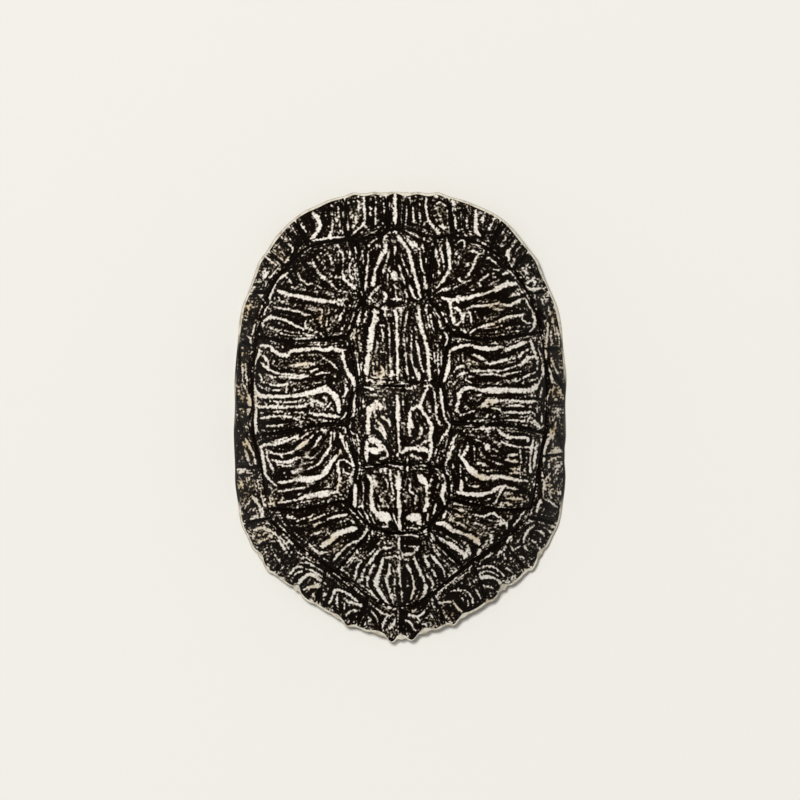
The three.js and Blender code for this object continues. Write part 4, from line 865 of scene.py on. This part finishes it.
class Mesh:
    """Vertices and faces gathered for one piece, with a value per vertex for each named attribute."""

    def __init__(self, name):
        self.name = name
        self.places = []
        self.faces = []
        self.values = {}
        self.count = 0

    def add(self, places, **values):
        first = self.count
        self.places.append(places)
        self.count += len(places)
        for key, value in values.items():
            self.values.setdefault(key, []).append(np.broadcast_to(value, len(places)))
        return np.arange(first, self.count)

    def triangles(self, a, b, c):
        self.faces.append(np.column_stack([a, b, c]))

    def bridge(self, outer, inner):
        """Faces between two rings of equal count, seen from outside, the second inside the first."""
        next_outer, next_inner = np.roll(outer, -1), np.roll(inner, -1)
        self.triangles(outer, next_outer, next_inner)
        self.triangles(outer, next_inner, inner)

    def bridge_half(self, outer, inner):
        """The same, where the inner ring has half as many vertices."""
        a, b, c = outer[0::2], outer[1::2], np.roll(outer, -2)[0::2]
        d, e = inner, np.roll(inner, -1)
        self.triangles(a, b, d)
        self.triangles(b, e, d)
        self.triangles(b, c, e)

    def close_on_line(self, ring, line, nearest, flip):
        """Closes a ring on to the middle line, each vertex to its own station there."""
        next_ring, next_nearest = np.roll(ring, -1), np.roll(nearest, -1)
        triangles = [np.column_stack([ring, next_ring, line[next_nearest]])]
        for i in np.flatnonzero(nearest != next_nearest):
            towards = int(np.sign(next_nearest[i] - nearest[i]))
            for k in range(nearest[i], next_nearest[i], towards):
                triangles.append(np.array([[ring[i], line[k + towards], line[k]]]))
        faces = np.vstack(triangles)
        self.faces.append(faces[:, ::-1] if flip else faces)

    def build(self, shift):
        places = (np.vstack(self.places) + shift) * MM
        faces = np.vstack(self.faces).astype(np.int32)
        a, b, c = faces.T
        faces = faces[(a != b) & (b != c) & (c != a)]
        mesh = bpy.data.meshes.new(self.name)
        mesh.vertices.add(len(places))
        mesh.vertices.foreach_set("co", places.astype(np.float32).ravel())
        mesh.loops.add(faces.size)
        mesh.loops.foreach_set("vertex_index", faces.ravel())
        mesh.polygons.add(len(faces))
        mesh.polygons.foreach_set("loop_start", np.arange(0, faces.size, 3, dtype=np.int32))
        mesh.polygons.foreach_set("use_smooth", np.ones(len(faces), bool))
        mesh.update()
        for key, parts in self.values.items():
            attribute = mesh.attributes.new(key, "FLOAT", "POINT")
            attribute.data.foreach_set("value", np.concatenate(parts).astype(np.float32))
        mesh.validate()
        piece = bpy.data.objects.new(self.name, mesh)
        bpy.context.scene.collection.objects.link(piece)
        return piece


# The horn's outer edge, the way to the middle of the frame, and the solid's box in the plan
horn_edge = closed_loop([stop for stop in RIM_LINE if isinstance(stop, str)])
plan_middle = (horn_edge.min(axis=0) + horn_edge.max(axis=0)) / 2
shift = np.array([*-plan_middle, 0.0])
box_low, box_high = (np.array(corner[:2]) / MM + plan_middle for corner in cad_box)


# Scutes
def scute_relief(plan, edge_distance, share, line_distance, swell, keel, seed):
    """How far a scute stands over the dome, by the distances from its seams and its middle line."""
    shoulder = -SEAM_DEPTH * (1 - ease(edge_distance / SHOULDER)) ** SHOULDER_CURVE
    bulge = swell * (1 - share**2)
    ridge = keel * hump(line_distance, KEEL_HALF_WIDTH) * ease(edge_distance / KEEL_RISE)
    ring_fall = RING_FALL * ease((edge_distance - RING_FALL_START) / RING_FALL_LENGTH)
    ring_fade = ease(edge_distance / RING_RISE) * (1 - ring_fall)
    wobble = RING_WOBBLE * ripple(plan, RING_WOBBLE_SIZE, seed)
    rings = RING_RELIEF * np.cos(2 * math.pi * edge_distance / RING_PITCH + wobble) * ring_fade
    lumps = LUMP_RELIEF * ripple(plan, LUMP_SIZE, seed + LUMP_SEED)
    lumps = lumps + PIMPLE_RELIEF * ripple(plan, PIMPLE_SIZE, seed + PIMPLE_SEED)
    return shoulder + bulge + ridge + rings + lumps * ease(edge_distance / LUMP_RISE)


def add_scute(mesh, names, along, length, swell, keel, seed):
    """One closed scute: rings that shrink from its seams on to a short middle line."""
    loop = closed_loop(names)
    loop = loop - outward_normals(loop, reach=2) * SEAM_GAP / 2
    middle = (loop.min(axis=0) + loop.max(axis=0)) / 2
    along = np.array(along, float)
    reach_along = one_way((loop - middle) @ along)
    half = length * np.ptp(reach_along) / 2
    station_count = round(2 * half / MESH_STEP) + 1
    stations = np.linspace(-half, half, station_count)
    share_along = np.clip((reach_along + half) / max(2 * half, TINY), 0, 1)
    nearest = np.round(share_along * (station_count - 1)).astype(int)
    foot = middle + stations[nearest][:, None] * along
    full = np.linalg.norm(loop - foot, axis=1)
    ring_count = max(FEWEST_RINGS, round(full.max() / MESH_STEP))

    # the outer half of the rings has every vertex of the loop, and the inner half every second one
    rings = []
    for i, share in enumerate(1 - (np.arange(ring_count) / ring_count) ** MESH_CROWDING):
        every = 1 if i < ring_count // 2 else 2
        outer, inner, reach = loop[::every], foot[::every], full[::every]
        plan = inner + (outer - inner) * share
        rings.append((plan, reach * (1 - share), np.full(len(plan), share), reach * share))
    line = middle + stations[:, None] * along
    line_edge = []
    for station in range(station_count):
        own = full[nearest == station]
        line_edge.append(own.min() if len(own) else full.min())
    rings.append((line, np.array(line_edge), np.zeros(station_count), np.zeros(station_count)))

    plan, edge_distance, share, line_distance = (np.concatenate(parts) for parts in zip(*rings))
    relief = scute_relief(plan, edge_distance, share, line_distance, swell, keel, seed)
    places = on_dome(plan, relief)
    tone = read_grid(HORN_TONE, places[:, :2]) - SEAM_SHADE * hump(edge_distance, SEAM_SHADE_WIDTH)
    index = mesh.add(places, tone=tone, stain=read_grid(HORN_STAIN, places[:, :2]))
    loops = np.split(index, np.cumsum([len(ring[0]) for ring in rings[:-1]]))
    for outer, inner in zip(loops[:-2], loops[1:-1]):
        if len(outer) == len(inner):
            mesh.bridge(outer, inner)
        else:
            mesh.bridge_half(outer, inner)
    mesh.close_on_line(loops[-2], loops[-1], nearest[::2], False)

    # the hidden side: a wall down into the bone, and a plain underside
    def hidden(plan):
        return mesh.add(on_dome(plan, -PLATE_FOOT), tone=0.0, stain=0.0)

    under = hidden(loop)
    mesh.bridge(under, loops[0])
    for share in UNDERSIDE_RINGS:
        inner = hidden(foot + (loop - foot) * share)
        mesh.bridge(inner, under)
        under = inner
    mesh.close_on_line(under, hidden(line), nearest, True)


def groove(start, end, side):
    stops = [stop + side for stop in SIDE_STOPS]
    return stops[stops.index(start + side):stops.index(end + side) + 1]


def vertebral_scutes():
    mesh = Mesh("vertebral_scutes")
    lists = [["neckL", "foot0L", "foot0R", "neckR", "cross1R", "cross1L"]]
    for number in (2, 3, 4):
        front, back = f"cross{number - 1}", f"cross{number}"
        lists.append([front + "L", front + "R", f"side{number}R", back + "R", back + "L", f"side{number}L"])
    lists.append(["cross4L", "cross4R", "tailR", "foot11R", "footTail", "foot11L", "tailL"])
    for seed, names in enumerate(lists, VERTEBRAL_SEED):
        add_scute(mesh, names, (0, 1), VERTEBRAL_LINE, SWELL, KEEL_HEIGHT, seed)
    return mesh


def costal_scutes(side, word):
    mesh = Mesh(f"costal_scutes_{word}")
    lists = [
        ["neck", "costal1", "side2", "cross1"],
        ["costal1", "costal2", "side3", "cross2", "side2"],
        ["costal2", "costal3", "side4", "cross3", "side3"],
        ["costal3", "tail", "cross4", "side4"],
    ]
    for seed, (start, end, *inside) in enumerate(lists, COSTAL_SEED[side]):
        names = groove(start, end, side) + [name + side for name in inside]
        add_scute(mesh, names, (1, 0), COSTAL_LINE, SWELL, 0.0, seed)
    return mesh


def marginal_scutes(side, word):
    mesh = Mesh(f"marginal_scutes_{word}")
    scutes = []
    for number in range(1, MARGINALS_A_SIDE + 1):
        outer = [f"rim{number - 1}{side}", f"rim{number}{side}"]
        inner = groove(f"foot{number - 1}", f"foot{number}", side)[::-1]
        scutes.append((outer + inner, MARGINAL_SEED[side] + number))
    scutes.append(([f"rim11{side}", "rimTail", "footTail", f"foot11{side}"], TAIL_SEED[side]))
    if side == "L":
        scutes.append((["rim0L", "rim0R", "foot0R", "foot0L"], NUCHAL_SEED))
    for names, seed in scutes:
        add_scute(mesh, names, (1, 0), 0.0, MARGINAL_SWELL, 0.0, seed)
    return mesh


# The bone shell
def bone_edge(edge, outward):
    """How far the bone's edge stands out of the horn, and how pale it is, round the rim."""
    lift = rim_lift(np.maximum(edge[:, 1], 0)) / NECK_LIFT
    turns = range(-NOTCH_SPAN, NOTCH_SPAN + 1)
    wide = sum(np.roll(edge, turn, axis=0) for turn in turns) / len(turns)
    notch_depth = ((wide - edge) * outward).sum(axis=1)
    fill = NOTCH_FILL * np.clip(notch_depth - NOTCH_START, 0, NOTCH_LIMIT)
    # along the flanks the horn's dark edge hides the bone's pale one
    flank = ease((FLANK_HALF_LENGTH - np.abs(edge[:, 1])) / FLANK_FADE)
    mottle = FLANK_MOTTLE * ripple(edge, FLANK_MOTTLE_SIZE, FLANK_MOTTLE_SEED)
    darkness = flank * (FLANK_DARKNESS + mottle)
    return mix(SIDE_EDGE, NECK_EDGE, lift) + fill, np.clip(1 - darkness, DARKEST_EDGE, 1)


def spine_drop(y):
    end_distance = np.minimum(SPINE_FRONT - y, y - SPINE_BACK)
    return mix(SPINE_END_DROP, SPINE_DROP, ease(end_distance / SPINE_TAPER))


def bone_shell():
    mesh = Mesh("bone_shell")
    edge = horn_edge[::2]
    outward = outward_normals(edge, reach=4)
    edge_width, pale = bone_edge(edge, outward)
    smooth_edge = (np.roll(edge, 1, axis=0) + 2 * edge + np.roll(edge, -1, axis=0)) / 4

    def rim_ring(inward, height, side):
        plan = smooth_edge + outward * (edge_width - inward)[:, None]
        plan = np.clip(plan, box_low, box_high)
        return mesh.add(np.column_stack([plan, rim_lift(plan[:, 1]) + LIP_THICKNESS * height]), side=side)

    # outside: under the scutes, from the crown out to the rim
    middle = mesh.add(on_dome(CENTRE[None, :], -BONE_DEPTH), side=COVERED)
    outer_rings = []
    for share in BONE_RINGS:
        outer_rings.append(mesh.add(on_dome(CENTRE + (edge - CENTRE) * share, -BONE_DEPTH), side=COVERED))
    first = outer_rings[0]
    mesh.triangles(first, np.roll(first, -1), np.repeat(middle, len(first)))
    for inner, outer in zip(outer_rings, outer_rings[1:]):
        mesh.bridge(outer, inner)

    corner_inward, corner_height = EDGE_CORNER
    shoulder_inward, shoulder_height = EDGE_SHOULDER
    rims = [
        rim_ring(0.0, EDGE_WIDEST, AT_LIP * pale),
        rim_ring(EDGE_ROUNDING * corner_inward, corner_height, UNDERSIDE),
        rim_ring(EDGE_ROUNDING, 0.0, UNDERSIDE),
    ]
    shoulder = rim_ring(shoulder_inward, shoulder_height, AT_SHOULDER * pale)
    mesh.bridge(shoulder, outer_rings[-1])
    mesh.bridge(rims[0], shoulder)
    for outer, inner in zip(rims, rims[1:]):
        mesh.bridge(inner, outer)

    # underside: columns from the spine out to the rim
    angle = np.arctan2(edge[:, 1] - CENTRE[1], edge[:, 0] - CENTRE[0])
    plan_rim = CENTRE + outline_reach(angle)[:, None] * np.column_stack([np.cos(angle), np.sin(angle)])
    flat_share = 1 - REST_WIDTH / outline_reach(angle)
    flat_plan = CENTRE + (plan_rim - CENTRE) * flat_share[:, None]
    flat = mesh.add(np.column_stack([flat_plan, rim_lift(flat_plan[:, 1]) * REST_RISE]), side=UNDERSIDE)
    mesh.bridge(flat, rims[-1])

    spine_y = np.clip(plan_rim[:, 1] * COLUMN_SPREAD, SPINE_BACK, SPINE_FRONT)
    spine_foot = np.column_stack([np.zeros(len(spine_y)), spine_y])
    full = np.linalg.norm(plan_rim - spine_foot, axis=1)
    rib = RIB_RELIEF * (0.5 + 0.5 * np.cos(2 * math.pi * spine_y / RIB_PITCH))

    def under(plan, thickness):
        return mesh.add(on_dome(plan, -thickness), side=UNDERSIDE)

    previous = flat
    for share in ROOF_RINGS:
        plan = spine_foot + (plan_rim - spine_foot) * share
        rib_share = ease((RIB_ENDS[1] - share) / RIB_BLENDS[1]) * ease((share - RIB_ENDS[0]) / RIB_BLENDS[0])
        wall = mix(WALL, RIM_WALL, ease((share - RIM_WALL_START) / RIM_WALL_BLEND))
        bumps = ROOF_BUMPS * ripple(plan, ROOF_BUMP_SIZE, ROOF_BUMP_SEED)
        current = under(plan, wall + rib * rib_share + bumps)
        mesh.bridge(current, previous)
        previous = current
    for reach, most, part in SPINE_SECTION:
        share = np.minimum(SPINE_HALF_WIDTH * reach / full, ROOF_RINGS[-1] * most)
        plan = spine_foot + (plan_rim - spine_foot) * share[:, None]
        current = under(plan, WALL + spine_drop(spine_y) * part)
        mesh.bridge(current, previous)
        previous = current

    # the spine's middle line, with a vertex every millimetre
    line_y = np.arange(SPINE_FRONT, SPINE_BACK - 1, -1.0)
    line = under(np.column_stack([np.zeros(len(line_y)), line_y]), WALL + spine_drop(line_y))
    nearest = np.round(SPINE_FRONT - spine_y).astype(int)
    mesh.close_on_line(previous, line, nearest, True)
    return mesh


# Materials
BUMP_DISTANCE = 0.0003
GRIT_TONE = 0.9


class Material:
    """A new material, with short calls that add shader nodes and link them."""

    def __init__(self, name):
        self.data = bpy.data.materials.new(name)
        self.data.use_nodes = True
        self.tree = self.data.node_tree
        self.shader = self.tree.nodes["Principled BSDF"]

    def put(self, socket, value):
        if isinstance(value, bpy.types.NodeSocket):
            self.tree.links.new(value, socket)
        else:
            socket.default_value = value

    def set(self, **values):
        """Puts values on the shader's sockets, whose names have spaces for these underscores."""
        for name, value in values.items():
            self.put(self.shader.inputs[name.replace("_", " ")], value)

    def node(self, kind, inputs, **settings):
        made = self.tree.nodes.new(kind)
        for key, value in settings.items():
            setattr(made, key, value)
        for key, value in inputs.items():
            self.put(made.inputs[key], value)
        return made.outputs

    def attribute(self, name):
        return self.node("ShaderNodeAttribute", {}, attribute_name=name)["Fac"]

    def math(self, operation, a, b):
        return self.node("ShaderNodeMath", {0: a, 1: b}, operation=operation)[0]

    def noise(self, scale, detail, roughness):
        places = self.node("ShaderNodeTexCoord", {})["Object"]
        inputs = {"Vector": places, "Scale": scale, "Detail": detail, "Roughness": roughness}
        return self.node("ShaderNodeTexNoise", inputs)["Fac"]

    def ramp(self, value, low, high, to_low=0.0, to_high=1.0):
        inputs = dict(enumerate((value, low, high, to_low, to_high)))
        return self.node("ShaderNodeMapRange", inputs, interpolation_type="SMOOTHSTEP")[0]

    def blend(self, share, a, b, how="MIX"):
        inputs = {"Factor": share, "A": a, "B": b}
        return self.node("ShaderNodeMix", inputs, data_type="RGBA", blend_type=how)["Result"]

    def bump(self, height, strength):
        inputs = {"Strength": strength, "Distance": BUMP_DISTANCE, "Height": height}
        self.set(Normal=self.node("ShaderNodeBump", inputs)[0])


BLACK_HORN = (0.0035, 0.0016, 0.0004, 1)
BROWN_HORN = (0.050, 0.037, 0.024, 1)
TAN_HORN = (0.31, 0.27, 0.225, 1)
CREAM = (0.80, 0.74, 0.66, 1)
PALEST_HORN = (0.95, 0.91, 0.84, 1)
HORN_TONES = [(0.19, BLACK_HORN), (0.35, BROWN_HORN), (0.53, TAN_HORN), (0.74, CREAM), (1.0, PALEST_HORN)]
STAINED = (0.74, 0.63, 0.44, 1)
IVORY = (0.84, 0.79, 0.66, 1)
# painted shadow: a dark brown line along the lip's lower outer edge, standing in for the rim's contact
# shadow
RIM_PAINTED_SHADOW = (0.10, 0.075, 0.045, 1)
PALE_BONE = (0.72, 0.66, 0.54, 1)
OLD_BONE = (0.42, 0.34, 0.23, 1)
FLOOR_COLOUR = (0.86, 0.85, 0.81, 1)


def horn_material():
    horn = Material("horn")
    grit = horn.math("SUBTRACT", horn.noise(scale=950, detail=1.0, roughness=0.5), 0.5)
    tone = horn.math("ADD", horn.attribute("tone"), horn.math("MULTIPLY", grit, GRIT_TONE))
    ramp = horn.tree.nodes.new("ShaderNodeValToRGB")
    horn.put(ramp.inputs[0], tone)
    stops = ramp.color_ramp.elements
    stops[0].position, stops[0].color = HORN_TONES[0]
    stops[1].position, stops[1].color = HORN_TONES[-1]
    for position, colour in HORN_TONES[1:-1]:
        stops.new(position).color = colour
    horn.set(
        Base_Color=horn.blend(horn.attribute("stain"), ramp.outputs[0], STAINED, "MULTIPLY"),
        Roughness=horn.ramp(grit, low=-0.2, high=0.2, to_low=0.45, to_high=0.6),
        Specular_IOR_Level=0.03,
    )
    horn.bump(grit, strength=0.35)
    return horn.data


def bone_material():
    bone = Material("bone")
    side = bone.attribute("side")
    clouds = bone.noise(scale=45, detail=4.0, roughness=0.55)
    blots = bone.noise(scale=260, detail=3.0, roughness=0.6)
    pores = bone.noise(scale=700, detail=3.0, roughness=0.6)
    inside = bone.blend(bone.ramp(clouds, low=0.35, high=0.7), PALE_BONE, OLD_BONE)
    inside = bone.blend(bone.ramp(pores, low=0.55, high=0.75, to_high=0.35), inside, OLD_BONE)
    ivory = bone.blend(bone.ramp(blots, low=0.42, high=0.66, to_high=0.75), IVORY, OLD_BONE)
    outside = bone.ramp(side, low=0.5, high=0.75, to_low=1.0, to_high=0.0)
    # painted shadow: a dark band between the lip and the underside, the rim's contact shadow painted on its
    # lower outer edge
    into_rim = bone.ramp(side, low=0.55, high=0.8)
    out_of_rim = bone.ramp(side, low=0.85, high=1.0, to_low=1.0, to_high=0.0)
    rim_painted_shadow = bone.math("MULTIPLY", into_rim, out_of_rim)
    bare = bone.blend(rim_painted_shadow, bone.blend(outside, inside, ivory), RIM_PAINTED_SHADOW)
    bone.set(
        Base_Color=bone.blend(bone.ramp(side, low=0.05, high=0.3), BLACK_HORN, bare),
        Roughness=0.7,
        Specular_IOR_Level=0.3,
    )
    bone.bump(pores, strength=0.3)
    return bone.data


# The pieces, in the frame of the solid
horn = horn_material()
bone = bone_material()
meshes = [
    (vertebral_scutes(), horn),
    (costal_scutes("L", "left"), horn),
    (costal_scutes("R", "right"), horn),
    (marginal_scutes("L", "left"), horn),
    (marginal_scutes("R", "right"), horn),
    (bone_shell(), bone),
]
for mesh, material in meshes:
    piece = mesh.build(shift)
    piece.data.materials.append(material)
    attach(piece, "root")
    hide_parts("carapace")


# Floor, light and camera
FLOOR_SIZE = 6.0
LAMP_PLACE = (-1.15, 1.4, 8.0)
LAMP_SIZE = 1.6
LAMP_POWER = 500
LAMP_COLOUR = (1.0, 0.985, 0.96)
WORLD_LIGHT = 0.3
LENS = 1000.0
SENSOR = 36.0
FAR_CLIP = 20.0
VIEW_WIDTH = 0.4425
VIEW_CENTRE = (0.0, 0.0095)


def add_floor():
    bpy.ops.mesh.primitive_plane_add(size=FLOOR_SIZE, location=(0, 0, 0))
    floor = bpy.context.active_object
    floor.name = "floor"
    paint = Material("floor")
    paint.set(Base_Color=FLOOR_COLOUR, Roughness=0.9, Specular_IOR_Level=0.1)
    floor.data.materials.append(paint.data)


def add_light():
    data = bpy.data.lights.new("key", "AREA")
    data.shape = "DISK"
    data.size = LAMP_SIZE
    data.energy = LAMP_POWER
    data.color = LAMP_COLOUR
    lamp = bpy.data.objects.new("key", data)
    lamp.location = LAMP_PLACE
    direction = -lamp.location.normalized()
    lamp.rotation_euler = direction.to_track_quat("-Z", "Y").to_euler()
    bpy.context.scene.collection.objects.link(lamp)


def add_camera():
    data = bpy.data.cameras.new("camera")
    data.lens = LENS
    data.sensor_width = SENSOR
    data.clip_end = FAR_CLIP
    camera = bpy.data.objects.new("camera", data)
    camera.location = (*VIEW_CENTRE, VIEW_WIDTH * LENS / SENSOR)
    bpy.context.scene.collection.objects.link(camera)
    bpy.context.scene.camera = camera


add_floor()
add_light()
add_camera()
world = bpy.data.worlds.new("studio")
world.use_nodes = True
background = world.node_tree.nodes["Background"]
background.inputs["Color"].default_value = (1.0, 1.0, 1.0, 1)
background.inputs["Strength"].default_value = WORLD_LIGHT
bpy.context.scene.world = world
bpy.context.scene.view_settings.view_transform = "Standard"
